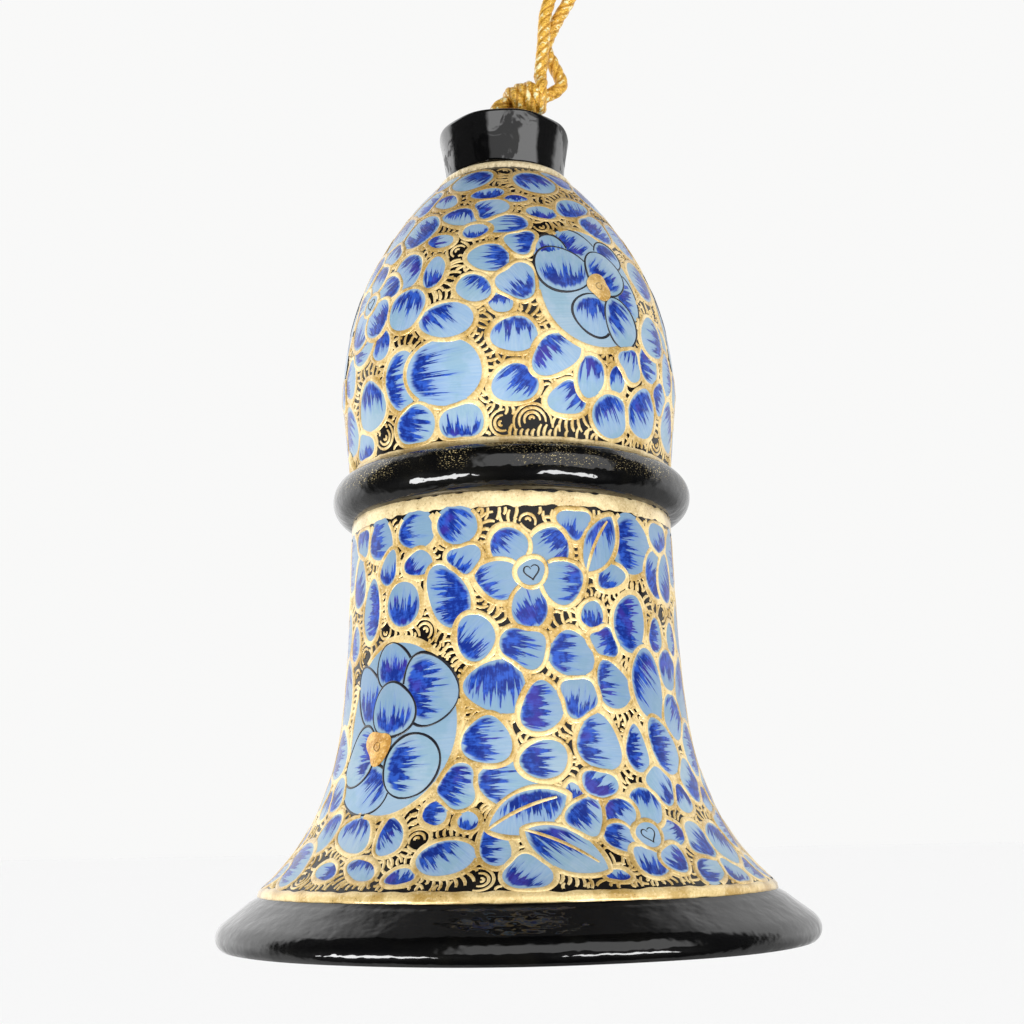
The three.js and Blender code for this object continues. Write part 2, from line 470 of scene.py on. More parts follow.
def black_lacquer(name, dust, coat_ior, torn):
    """Black paint under a clear coat with brush waves.

    dust is how far gold dust spreads in it, above DUST_HEIGHT_M where there is much.
    torn breaks up the shine.
    """
    shader = Shader(
        name, Roughness=0.4, Specular_IOR_Level=0.05, Coat_Weight=1.0, Coat_Roughness=0.045, Coat_IOR=coat_ior
    )
    place = shader.place()
    grain = shader.noise(shader.stretch(place, (1.0, 1.0, 1.8)), 5600, 2.0, 0.7)
    patch = shader.step(shader.noise(place, 150, 3.0, 0.6), 0.62 - dust, 0.8 - dust)
    if dust > 0.1:
        patch = shader.times(patch, shader.step(shader.height_over(place, DUST_HEIGHT_M), -0.0007, 0.0004))
    cloud = shader.step(shader.noise(place, 180, 4.0, 0.65), 0.42, 0.75)
    tone = shader.mix(cloud, (0.0006, 0.0006, 0.0008, 1), (0.0032, 0.003, 0.0022, 1))
    speck = shader.step(grain, 0.6, 0.67)
    if torn:
        worn = shader.noise(shader.stretch(place, (1.0, 1.0, 0.8)), 330, 4.0, 0.6, 0.8)
        shader.link(shader.step(worn, 0.4, 0.45, 0.25, 1.0), shader.surface["Coat Weight"])
    waves = shader.noise(shader.stretch(place, (1.0, 1.0, 1.7)), 130, 4.0, 0.55)
    colour = shader.mix(shader.times(speck, patch), tone, (0.72, 0.58, 0.28, 1))
    return shader.finish(colour, waves, 0.00015 if torn else 0.0004, 0.8)


def bead_lacquer():
    """Deep blue lacquer with worn gold spots."""
    shader = Shader("bead_lacquer", Roughness=0.35, Coat_Weight=1.0, Coat_Roughness=0.06)
    place = shader.place()
    spots = shader.step(shader.noise(place, 620, 1.0), 0.62, 0.66)
    blue = shader.mix(shader.noise(place, 300, 3.0), (0.008, 0.02, 0.16, 1), (0.03, 0.07, 0.34, 1))
    colour = shader.mix(spots, blue, (0.7, 0.48, 0.16, 1))
    return shader.finish(colour, shader.noise(place, 500, 2.0), 0.0001, 0.4)


def ground_black():
    """The painted ground behind the flowers."""
    shader = paint_shader("ground_black", Roughness=0.4, Specular_IOR_Level=0.05)
    place = shader.place()
    wear = shader.step(shader.noise(place, 900, 3.0, 0.6), 0.55, 0.9)
    colour = shader.mix(wear, (0.006, 0.005, 0.005, 1), (0.035, 0.024, 0.012, 1))
    return shader.finish(colour, shader.noise(place, 700, 2.0), 0.00008, 0.4)


LIGHT_BLUE = (0.235, 0.36, 0.52, 1)
GREY_BLUE = (0.3, 0.41, 0.53, 1)
WASHED_GREEN = (0.33, 0.42, 0.44, 1)
SHADED_BLUE = (0.1, 0.18, 0.29, 1)
MID_BLUE = (0.07, 0.16, 0.48, 1)
COBALT = (0.001, 0.014, 0.18, 1)
BRIGHT_COBALT = (0.017, 0.072, 0.41, 1)
PLUM = (0.045, 0.018, 0.25, 1)
TEAL = (0.2, 0.34, 0.42, 1)
SHADE_FROM_M = (0.012, 0.021)  # the blue darkens over these heights above the rim plane
SHADE_TO_M = (0.036, 0.04)  # and mostly recovers over these
OCHRE_FROM_M = (0.056, 0.064)  # the gold darkens over these, towards the crown


def stroke_blue():
    """Pale blue paint, with cobalt brush strokes that fan in from one side and end in separate bristle marks.

    The mesh gives each point its stroke (along, across, reach from the middle) and its shape's paint
    (seed, how far the ink comes in, how grey the blue is).
    """
    shader = paint_shader("stroke_blue", Roughness=0.38, Coat_Roughness=0.06, Specular_IOR_Level=0.05)
    along, across, reach = shader.attribute("stroke")
    seed, edge, grey = shader.attribute("paint")
    shift = shader.times(seed, 17.0)
    fan = shader.math("DIVIDE", across, shader.scaled(along, -0.2, 1.0))
    wide = shader.combine(shader.times(along, 0.5), shader.scaled(fan, 5.0, shift), shift)
    fine = shader.combine(shader.times(along, 1.2), shader.scaled(fan, 14.0, shift), seed)
    fingers = shader.noise(wide, 1.0, 1.0)
    bristles = shader.noise(fine, 1.0, 2.0, 0.6)
    depth = shader.times(shader.math("SUBTRACT", along, edge), 1.9)
    depth = shader.math("ADD", depth, shader.scaled(fingers, 3.6, -1.8))
    depth = shader.math("ADD", depth, shader.scaled(bristles, 3.0, -1.45))
    margin = shader.math("ADD", reach, shader.scaled(fingers, 0.3, -0.15))
    kept = shader.step(margin, 0.74, 0.88, 1.0, 0.0)
    inked = shader.times(shader.step(depth, 0.0, 0.26), kept)
    wash = shader.times(shader.step(depth, -0.8, 0.3), kept)
    pale = shader.mix(shader.step(bristles, 0.3, 0.75), LIGHT_BLUE, GREY_BLUE)
    pale = shader.mix(shader.times(grey, 0.55), pale, WASHED_GREEN)
    place = shader.place()
    cloud = shader.noise(place, 330, 4.0, 0.65)
    pale = shader.mix(shader.step(cloud, 0.44, 0.62, 0.0, 0.6), pale, TEAL)
    height = shader.height_over(place, RIM_PLANE_M)
    shade = shader.times(shader.step(height, *SHADE_FROM_M), shader.step(height, *SHADE_TO_M, 1.0, 0.25))
    pale = shader.mix(shader.times(shade, 0.5), pale, SHADED_BLUE)
    pale = shader.mix(shader.times(wash, 0.4), pale, MID_BLUE)
    pool = shader.scaled(bristles, 0.35, shader.times(shader.noise(place, 1300, 3.0, 0.65), 0.65))
    deep = shader.mix(shader.step(pool, 0.44, 0.6), COBALT, BRIGHT_COBALT)
    deep = shader.mix(shader.step(shader.noise(place, 420, 2.0), 0.56, 0.68, 0.0, 0.55), deep, PLUM)
    colour = shader.mix(shader.times(inked, 0.97), pale, deep)
    return shader.finish(colour, shader.scaled(inked, 0.8, bristles), 0.00004, 0.5)


def gold_paint():
    """Bronze-powder paint, thin and streaky in places. The mesh gives its paint (pale, ochre); pale is a painted
    highlight that whitens the gold bands.
    """
    shader = paint_shader("gold_paint", Metallic=0.25, Coat_Roughness=0.07)
    place = shader.place()
    pale, ochre, _ = shader.attribute("paint")
    grain = shader.noise(place, 5200, 2.0, 0.7)
    patch = shader.noise(place, 380, 3.0, 0.6)
    lumps = shader.noise(place, 1700, 3.0, 0.6)
    gold = shader.mix(shader.step(patch, 0.36, 0.62), (0.52, 0.33, 0.085, 1), (0.86, 0.66, 0.31, 1))
    height = shader.height_over(place, RIM_PLANE_M)
    gold = shader.mix(shader.step(height, *OCHRE_FROM_M, 0.0, 0.6), gold, (0.4, 0.23, 0.05, 1))
    # painted highlight: pale whitens the gold towards cream
    gold = shader.mix(shader.times(pale, 0.7), gold, (1.0, 0.93, 0.68, 1))
    deep = shader.mix(shader.step(lumps, 0.4, 0.62), (0.5, 0.22, 0.02, 1), (0.82, 0.47, 0.12, 1))
    gold = shader.mix(ochre, gold, deep)
    gold = shader.mix(shader.step(grain, 0.4, 0.6, 0.16, 0.0), gold, (0.36, 0.21, 0.05, 1))
    # the palest grains: the bronze flakes' own tone, brightened into painted glints
    gold = shader.mix(shader.step(grain, 0.56, 0.68, 0.0, 0.3), gold, (1.0, 0.93, 0.66, 1))
    thin = shader.times(shader.step(grain, 0.28, 0.4, 0.8, 0.0), shader.step(patch, 0.4, 0.6, 1.0, 0.0))
    colour = shader.mix(thin, gold, (0.2, 0.12, 0.04, 1))
    return shader.finish(colour, grain, 0.00003, 0.6, shader.step(grain, 0.2, 0.8, 0.25, 0.45))


def contour_black():
    """Thin brush lines inside the flowers."""
    shader = paint_shader("contour_black", Roughness=0.4)
    tone = shader.noise(shader.place(), 1500, 2.0)
    colour = shader.mix(tone, (0.002, 0.002, 0.004, 1), (0.01, 0.011, 0.02, 1))
    shader.link(colour, shader.surface["Base Color"])
    return shader.material


def metal_cord(name, bright, groove_shade, glint):
    """Twisted metallic thread: bright flat filaments on the strands, painted light on their crowns, painted shade down
    in the grooves, and painted glints.

    The mesh gives each point its thread: place across its strand, length in millimetres, and crown.
    """
    shader = Shader(name, Metallic=0.35, Coat_Weight=0.3, Coat_Roughness=0.12)
    across, length, crown = shader.attribute("thread")
    strands = shader.combine(shader.times(across, 5.0), shader.times(length, 9.0), 0.0)
    filament = shader.noise(strands, 1.0, 2.0, 0.6)
    spots = shader.noise(shader.place(), 1900, 2.0, 0.6)
    # painted light and shade: the bright colour where the strands' crowns are lit, painted shade down in the grooves,
    # varied by the filaments
    lit = shader.times(shader.step(crown, 0.1, 0.7, 0.2, 1.0), shader.step(filament, 0.35, 0.62, 0.2, 1.0))
    # painted glints: near-white spots on the strands' crowns
    shine = shader.times(shader.step(spots, 0.54, 0.62), shader.step(crown, 0.4, 0.9))
    colour = shader.mix(shine, shader.mix(lit, groove_shade, bright), glint)
    return shader.finish(colour, filament, 0.00008, 0.9, shader.step(filament, 0.25, 0.75, 0.2, 0.45))


def fibre(name, dark, light, scale, depth_m):
    """Dry fibrous stuff: paper, card or twine."""
    shader = Shader(name, Roughness=0.88)
    felt = shader.noise(shader.place(), scale, 5.0, 0.7, 0.6)
    return shader.finish(shader.mix(shader.step(felt, 0.3, 0.7), dark, light), felt, depth_m, 0.8)


DUST_HEIGHT_M = WAIST_MIDDLE * MM + RIM_PLANE_M
BLACK = black_lacquer("black_lacquer", -0.12, 1.52, False)
DUSTY = black_lacquer("black_lacquer_gold_dust", 0.25, 1.52, False)
WORN = black_lacquer("black_lacquer_worn", 0.02, 2.0, True)
BEAD = bead_lacquer()
GROUND = ground_black()
BLUE = stroke_blue()
GOLD = gold_paint()
CONTOUR = contour_black()
# colours: lit crowns, painted shade in the grooves, painted glints
GOLD_CORD = metal_cord("gold_cord", (1.0, 0.6, 0.085, 1), (0.42, 0.17, 0.004, 1), (1.0, 0.94, 0.55, 1))
PAPER = fibre("plain_paper", (0.36, 0.29, 0.2, 1), (0.55, 0.47, 0.34, 1), 1400, 0.00012)
CARD = fibre("card", (0.2, 0.13, 0.07, 1), (0.34, 0.24, 0.14, 1), 1800, 0.0001)
TWINE = fibre("twine", (0.5, 0.42, 0.29, 1), (0.78, 0.71, 0.55, 1), 2600, 0.00008)


# ------------------------------------------------------------------ cord and knots

# The loop's route, hanging: out of the knot, up, over and down to the knot
LOOP_ROUTE = [
    (3.6, -0.5, 80.8), (3.75, -0.6, 82.2), (4, -0.66, 84.4), (4.25, -0.6, 87.4), (5, -0.5, 90.5),
    (5.6, -0.3, 96), (3.8, -0.1, 103.5), (0.2, 0, 111), (-3.3, 0, 118.5), (-5.6, 0, 125.5), (-5.8, 0, 131.5),
    (-3.9, 0, 136.4), (0, 0, 138.625), (4.2, 0, 136.5), (7.1, 0, 132), (8.6, 0, 126), (9.3, 0.05, 119),
    (9.6, 0.1, 111.5), (9.3, 0.2, 104), (8.5, 0.35, 97), (7.2, 0.5, 91), (5.35, 0.6, 87.4),
    (4.3, 0.68, 84.8), (4.9, 0.6, 82.9), (5.55, 0.5, 81.3), (5.7, 0.42, 80.5), (5.3, 0.36, 79.9),
    (4.85, 0.33, 79.6),
]
STRANDS = 4  # twisted into one cord


def rope(path, radius, pitch=4.4, sides=24, step=0.14, fullness=0.15):
    """A twisted cord round a path.

    Gives points, faces, each point's thread (place across the strand, length, crown) and the centre line.
    """
    centre = resample(np.asarray(path, float), step)
    tangent = unit(np.gradient(centre, axis=0))
    side = np.cross(tangent[0], (0.0, 1.0, 0.3))
    first = []
    for t in tangent:
        side = unit(side - t * np.dot(side, t))
        first.append(side)
    first = np.array(first)
    second = np.cross(tangent, first)
    length = lengths_along(centre)[:, None]
    theta = circle(sides)
    turn = (theta - 2 * math.pi * length / pitch) * STRANDS / (2 * math.pi)
    crown = np.abs(np.cos(math.pi * turn))
    swell = radius * (1 - fullness + fullness * crown**0.7)
    outward = first[:, None] * np.cos(theta)[:, None] + second[:, None] * np.sin(theta)[:, None]
    points = centre[:, None] + outward * swell[..., None]
    thread = np.stack([turn % 1, np.broadcast_to(length, turn.shape), crown], axis=-1)
    last = (len(centre) - 1) * sides
    faces = grid_faces(len(centre), sides, False, True)
    faces += [list(range(sides))[::-1], list(range(last, last + sides))]
    return points.reshape(-1, 3), faces, thread.reshape(-1, 3), centre


def make_rope(name, paths, radius, material, body, slot, node, **form):
    """Twisted cords along the paths, as one piece in a CAD node's place: the piece and a centre line."""
    points, faces, thread, start = [], [], [], 0
    for path in paths:
        part_points, part_faces, part_thread, centre = rope(path, radius, **form)
        points.append(part_points)
        faces += [[index + start for index in face] for face in part_faces]
        thread.append(part_thread)
        start += len(part_points)
    attributes = {"thread": np.vstack(thread)}
    return make_object(name, np.vstack(points), faces, [material], body, slot, [node], attributes), centre


def make_loop():
    piece = ("hanging_loop_cord", [spline(LOOP_ROUTE, 14)], CORD_RADIUS * 1.04)
    obj, centre = make_rope(*piece, GOLD_CORD, "hanger", "gold_cord", "hanger_loop")
    path = to_frame(resample(centre, 1.0))
    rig.cord(
        obj,
        exit=path[0].tolist(),
        length=lengths_along(centre)[-1] * MM,
        diameter=CORD_DIAMETER * MM,
        far_end="object",
        stiffness="limp",
        lay="hanging",
        path=path.tolist(),
    )


def coil(centre, axis, radius, length, turns, start):
    """Points of a helix about an axis, fuller in the middle. start is an angle in radians from the front."""
    axis = unit(np.array(axis, float))
    first = unit(np.array([0.0, -1.0, 0.0]) + axis * axis[1])
    second = np.cross(axis, first)
    t = np.linspace(0, 1, int(turns * 20) + 1)[:, None]
    angle = start + 2 * math.pi * turns * t
    bulge = radius * (0.86 + 0.14 * np.sin(math.pi * t))
    return centre + axis * (t - 0.5) * length + bulge * (first * np.cos(angle) + second * np.sin(angle))


def make_hanger_knot():
    """The two strands come up out of the crown, lean over and are wound round themselves."""
    middle = sum(box_mm("hanger_knot")) / 2 * [1, 0, 1] + [0, 0, 0.1]
    winding = coil(middle, (1, 0.05, 0.35), 1.36, 2.9, 3.1, 2.4)
    rise = [(-0.3, 0.2, 75.9), (-0.85, -0.1, 76.7), (-0.7, -0.45, 77.5), (0.1, -0.7, 78.0), winding[4]]
    out = [winding[-5], (3.6, -1.1, 79.2), (3.7, -0.8, 80.1), (3.6, -0.5, 80.85)]
    first = np.vstack([spline(rise, 10)[:-1], winding[4:-5], spline(out, 10)[1:]])
    small = [(0.2, 0.5, 76), (-0.5, 0.75, 76.9), (-0.9, 0.1, 77.4), (-0.2, -0.5, 76.9), (0.5, 0, 77.2)]
    lean = [(1.2, 0, 77.9), middle, (3.2, 0.1, 78.8), (4.2, 0.3, 79.2), (4.85, 0.33, 79.6)]
    second = spline(small + lean, 10)
    piece = ("hanger_knot_winding", [first, second], CORD_RADIUS)
    make_rope(*piece, GOLD_CORD, "sway_knot", "gold_cord", "hanger_knot")


def make_through_cord():
    """Two strands down from the knot, through the cap to the stop knot."""
    low = box_mm("through_cord")[0][2]
    left = [(-0.2, 0.1, 76.6), (-0.5, 0, 75.9), (-0.62, 0, 74.8), (-0.6, 0, 72), (-0.58, 0, low)]
    right = [(0.2, 0.3, 76.6), (0.5, 0.1, 75.9), (0.62, 0, 74.8), (0.6, 0, 72), (0.58, 0, low)]
    piece = ("through_cord_strands", [spline(left), spline(right)], CORD_RADIUS * 0.97)
    obj, _ = make_rope(*piece, GOLD_CORD, None, "gold_cord", "through_cord")
    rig.blend(obj, "sway_knot", "stem", to_frame(np.array([0, 0, 76.6])), to_frame(np.array([0, 0, 74.9])))


def knot_path(centre, radius):
    """A closed overhand winding that fills a ball."""
    t = np.linspace(0, 2 * math.pi, 90)
    x = np.sin(t) + 2 * np.sin(2 * t)
    y = np.cos(t) - 2 * np.cos(2 * t)
    z = -np.sin(3 * t) * 1.5
    return np.array(centre) + np.stack([x, y, z], axis=1) * radius / 3.0


def make_ball_knot(node, name, material, body, slot, strand):
    """A tied knot in the place of a plain CAD ball. strand is the radius of its cord."""
    low, high = box_mm(node)
    path = knot_path((low + high) / 2, (high[0] - low[0]) / 2 - strand)
    make_rope(name, [path], strand, material, body, slot, node, step=0.15, sides=16, pitch=strand * 6)


make_loop()
make_hanger_knot()
make_through_cord()
make_ball_knot("stop_knot", "stop_knot_cord", GOLD_CORD, "stem", "gold_cord", CORD_RADIUS)
make_ball_knot("clapper_tie", "clapper_tie_knot", TWINE, "clapper_swivel", "twine", 0.4)
make_ball_knot("clapper_end_knot", "clapper_end_knot_twine", TWINE, "clapper", "twine", 0.48)


# ------------------------------------------------------------------ shells, beads and cap


def arc(centre, radius, start, end, count, squash=1.0):
    """(radius, height) points on a circular arc, angles in degrees from straight out."""
    at = np.radians(np.linspace(start, end, count))
    return [(centre[0] + radius * math.cos(a), centre[1] + radius * squash * math.sin(a)) for a in at]


class Wall:
    """The outer face of a shell, with the distance along it from the bottom as its height coordinate."""

    def __init__(self, node, low, high):
        line = spline(wall_points(node, True), 10)
        line = line[(line[:, 1] > low) & (line[:, 1] < high)]
        line = resample(np.vstack([self.extend(line, low, 0), line, self.extend(line, high, -1)]), 0.1)
        self.radius, self.height = line[:, 0], line[:, 1]
        self.run = lengths_along(line)
        slope = unit(np.gradient(line, axis=0))
        self.out_radius, self.out_height = slope[:, 1], -slope[:, 0]
        self.length = self.run[-1]

    @staticmethod
    def extend(line, height, end):
        """The wall's end carried on straight to a height."""
        a, b = (line[0], line[1]) if end == 0 else (line[-1], line[-2])
        slope = (a[0] - b[0]) / (a[1] - b[1])
        return np.array([[a[0] + slope * (height - a[1]), height]])

    def at_height(self, height):
        return float(np.interp(height, self.height, self.run))

    def radius_at(self, run):
        return np.interp(run, self.run, self.radius)

    def point(self, angle, run, lift):
        """Points on the wall: angle in radians from the front, distance up the wall, and lift off it."""
        radius = np.interp(run, self.run, self.radius) + lift * np.interp(run, self.run, self.out_radius)
        height = np.interp(run, self.run, self.height) + lift * np.interp(run, self.run, self.out_height)
        return np.stack([radius * np.sin(angle), -radius * np.cos(angle), height], axis=-1)


def make_shell(node, name, wall, inner_limit):
    """The shell itself: black painted ground outside, bare paper inside where wider than inner_limit."""
    outer = resample(np.stack([wall.radius, wall.height], axis=1), 0.45)
    inner = resample(spline(wall_points(node, False), 8), 0.8)
    inner = inner[inner[:, 0] > inner_limit][::-1]
    around = 200
    points, faces = lathe(np.vstack([outer, inner]), around)
    inside = (np.arange(len(faces)) // around >= len(outer) - 1).astype(int).tolist()
    make_object(name, points, faces, [GROUND, PAPER], "bell", "painted_shell", [node], face_material=inside)


def make_turned(name, profile, material, body, slot, node, **form):
    points, faces = lathe(profile, **form)
    make_object(name, points, faces, [material], body, slot, [node])


DOME = Wall("dome_shell", WAIST_MIDDLE, DOME_TOP + 0.1)
SKIRT = Wall("skirt_shell", SKIRT_BOTTOM - 0.25, WAIST_MIDDLE)  # a little down behind the rim's tuck
make_shell("dome_shell", "dome_shell_lacquered", DOME, 3.6)
make_shell("skirt_shell", "skirt_shell_lacquered", SKIRT, 0)

# How the rim's slope runs in under the skirt's paint: rise above the rim's top, depth under the wall
TUCK = [(0.02, 0.03), (0.35, 0.12), (0.7, 0.3), (0.75, 0.6)]


def make_rim():
    """The rolled rim: a slope that carries on from the skirt, a full lip and a flat underside."""
    outer = spline(wall_points("rim_ring", True), 5)
    under = [(21.0, 3.2), (21.5, 2.2), (22.3, 0.8), (22.9, 0.0), (23.9, 0.0)]
    tuck = []
    for rise, depth in TUCK:
        tuck.append((SKIRT.radius_at(SKIRT.at_height(RIM_TOP + rise)) - depth, RIM_TOP + rise))
    profile = np.vstack([under, outer[outer[:, 1] < RIM_TOP - 0.35], tuck])
    form = {"around": 240, "uneven": 0.05, "seed": 11, "wave": 9}
    make_turned("rim_bead_lacquered", profile, BLACK, "bell", "black_lacquer", "rim_ring", **form)


def make_waist():
    """The half-round bead round the waist, laid on by hand."""
    bead, root = 1.95, 14.1
    bulge = arc((WAIST_RADIUS - bead, WAIST_MIDDLE), bead, -88, 88, 26, (WAIST_TOP - WAIST_MIDDLE) / bead)
    profile = [(root, WAIST_BOTTOM)] + bulge + [(root, WAIST_TOP)]
    form = {"around": 240, "uneven": 0.07, "seed": 5}
    make_turned("waist_bead_lacquered", profile, DUSTY, "bell", "black_lacquer", "waist_ring", **form)


def make_cap():
    """The flared crown cap with a crisp top edge and the cord's hole."""
    spigot, edge = 3.3, 0.45
    foot = CAP_SPIGOT_END + 2.4
    flare = [(5.2, 0), (5.42, 0.06), (5.52, 0.35), (5.68, 1.5), (5.9, 2.9), (6.12, 4.1)]
    profile = [(CAP_HOLE, CAP_SPIGOT_END), (spigot, CAP_SPIGOT_END), (spigot, foot)]
    profile += [(radius, foot + rise) for radius, rise in flare]
    profile += arc((CAP_RADIUS - edge, CAP_TOP - edge), edge, -6, 90, 9)
    profile += [(4.5, CAP_TOP + 0.02), (3, CAP_TOP), (CAP_HOLE + 0.5, CAP_TOP - 0.02)]
    profile += [(CAP_HOLE + 0.12, CAP_TOP - 0.16), (CAP_HOLE, CAP_TOP - 0.5)]
    form = {"uneven": 0.12, "seed": 3, "wave": 9}
    make_turned("crown_cap_lacquered", profile, WORN, "bell", "black_lacquer", "crown_cap", **form)


def make_clapper_cord():
    """The twine the bead hangs on."""
    low, high = box_mm("clapper_cord")
    piece = ("clapper_cord_twine", [[(0, 0, low[2]), (0, 0, high[2])]], high[0])
    form = {"pitch": 2.2, "sides": 12, "step": 0.4, "fullness": 0.3}
    make_rope(*piece, TWINE, "clapper", "twine", "clapper_cord", **form)


def make_bead():
    """The painted wooden bead, a little flattened at its two holes."""
    radius, low, high = span("clapper_bead")
    middle, half, hole = (low + high) / 2, (high - low) / 2, 0.85
    lip = [(hole + 0.15, half * 0.955), (hole, half * 0.92)]
    profile = [(r, middle - z) for r, z in lip[::-1]]
    profile += arc((0, middle), radius, -76, 76, 30, half / radius) + [(r, middle + z) for r, z in lip]
    form = {"around": 96, "uneven": 0.03, "seed": 8}
    make_turned("clapper_bead_lacquered", profile, BEAD, "clapper", "lacquered_bead", "clapper_bead", **form)


def dress_kept_nodes():
    """Paper and card for the turned inner pieces, whose CAD shape is already right."""
    for node, material in (("joint_strip", PAPER), ("stop_washer", CARD)):
        materials = frame["nodes"][node].data.materials
        materials.clear()
        materials.append(material)


make_rim()
make_waist()
make_cap()
make_clapper_cord()
make_bead()
dress_kept_nodes()


# ------------------------------------------------------------------ painting

RIGHT, UP_RIGHT, UP, UP_LEFT, LEFT, DOWN_LEFT, DOWN = range(0, 315, 45)
NO_INK = 9.0  # an ink edge so far in that the shape stays pale
PETAL_LIFT = 0.02  # how far each paint stands off the wall
LEVEL_LIFT = 0.012  # added for each shape underneath
CONTOUR_LIFT = 0.03
OUTLINE_LIFT = 0.05
DASH_LIFT = 0.055
SUNK = -0.03  # the edges of a brush line lie just under the wall
OUTLINE_WIDTH = 0.56
ARC_WIDTH = 0.3
ARC_SPACING = 0.46
TOOTH_SPACING = 0.47
TOOTH_WIDTHS = np.array([0.26, 0.33, 0.31, 0.2])
CELL_ANGLE = math.radians(0.3)  # the grid that notes which ground is taken
CELL_RUN = 0.1
RIBBON_ACROSS = np.array([-0.5, -0.32, 0, 0.32, 0.5])
BAND_ACROSS = np.array([-0.5, -0.3, 0, 0.3, 0.5])


def rotate(points, degrees):
    a = math.radians(degrees)
    turn = np.array([[math.cos(a), math.sin(a)], [-math.sin(a), math.cos(a)]])
    return points @ turn


class Layer:
    """Raised patches of one paint on one wall, made into one mesh at the end."""

    def __init__(self, wall):
        self.wall = wall
        self.points, self.faces, self.stroke, self.paint, self.count = [], [], [], [], 0

    def add(self, origin, flat, lift, faces, stroke=None, paint=(0, 0, 0)):
        """A patch given flat, as (right, up the wall) from an origin of (angle, distance up the wall)."""
        angle, run = origin
        along = np.clip(run + flat[:, 1], 0, self.wall.length)
        points = self.wall.point(angle + flat[:, 0] / self.wall.radius_at(along), along, lift)
        self.add_points(points, faces, stroke, paint)

    def add_points(self, points, faces, stroke=None, paint=(0, 0, 0)):
        self.points.append(points)
        self.faces += [[index + self.count for index in face] for face in faces]
        self.stroke.append(np.zeros((len(points), 3)) if stroke is None else stroke)
        self.paint.append(np.broadcast_to(paint, (len(points), 3)))
        self.count += len(points)

    def make(self, name, material, slot):
        attributes = {"stroke": np.vstack(self.stroke), "paint": np.vstack(self.paint)}
        make_object(name, np.vstack(self.points), self.faces, [material], "bell", slot, attributes=attributes)


def petal_outline(across, up, rng, tilt=0, egg=0.12, count=36, wobble=0.045):
    """A closed hand-drawn petal outline, anticlockwise, with its narrow end up before it is tilted."""
    t = circle(count)
    outline = np.stack([-across * np.sin(t) * (1 - egg * np.cos(t)), up * np.cos(t)], axis=1)
    sway = 1 + wobble * (np.sin(2 * t + rng.uniform(0, 6)) + 0.7 * np.sin(3 * t + rng.uniform(0, 6)))
    return rotate(outline * sway[:, None], -tilt)


def filled(outline, base, dome):
    """A low cushion inside a closed outline: points, lift, faces, and reach from 0 in the middle to 1."""
    centre = outline.mean(axis=0)
    steps = max(3, math.ceil(np.linalg.norm(outline - centre, axis=1).max() / 0.5))
    shares = np.linspace(0, 1, steps + 1)
    count = len(outline)
    points, lift, reach = [centre[None]], [np.array([base + dome])], [np.zeros(1)]
    for share in shares[1:]:
        points.append(outline if share == 1 else centre + (outline - centre) * share)
        lift.append(np.full(count, base + dome * (1 - share**2)))
        reach.append(np.full(count, share))
    faces = [[0, 1 + i, 1 + (i + 1) % count] for i in range(count)]
    rings = np.array(grid_faces(steps, count, False, True, flip=True))
    faces += (np.roll(rings, -1, axis=1) + 1).tolist()
    return np.vstack(points), np.concatenate(lift), faces, np.concatenate(reach)


def ribbon(path, width, height, closed):
    """Points, lift and faces of a low brush line along a path."""
    if closed:
        tangent = np.roll(path, -1, axis=0) - np.roll(path, 1, axis=0)
    else:
        tangent = np.gradient(path, axis=0)
    tangent /= np.linalg.norm(tangent, axis=1)[:, None] + 1e-9
    left = np.stack([-tangent[:, 1], tangent[:, 0]], axis=1)
    width = np.broadcast_to(width, len(path))
    points = path[:, None] + left[:, None] * (RIBBON_ACROSS * width[:, None])[..., None]
    lift = np.tile([SUNK, height * 0.72, height, height * 0.72, SUNK], len(path))
    return points.reshape(-1, 2), lift, grid_faces(len(path), 5, closed, flip=True)


def hand_width(count, width, rng, depth):
    """A line width that swells and thins as a brush does."""
    t = circle(count)
    swell = sum(size * np.sin(k * t + rng.uniform(0, 6)) for k, size in ((1, 1.0), (2, 0.7), (5, 0.5)))
    return width * (1 + depth * swell / 1.6)


def closed_resample(outline, step):
    return resample(np.vstack([outline, outline[:1]]), step)[:-1]


def seen_runs(seen):
    """The stretches of a partly hidden closed path that are seen, as index lists."""
    count = len(seen)
    start = int(np.argmin(seen))
    runs, run = [], []
    for k in range(1, count + 1):
        index = (start + k) % count
        if seen[index]:
            run.append(index)
        elif run:
            runs.append(run)
            run = []
    return [run for run in runs if len(run) > 3]


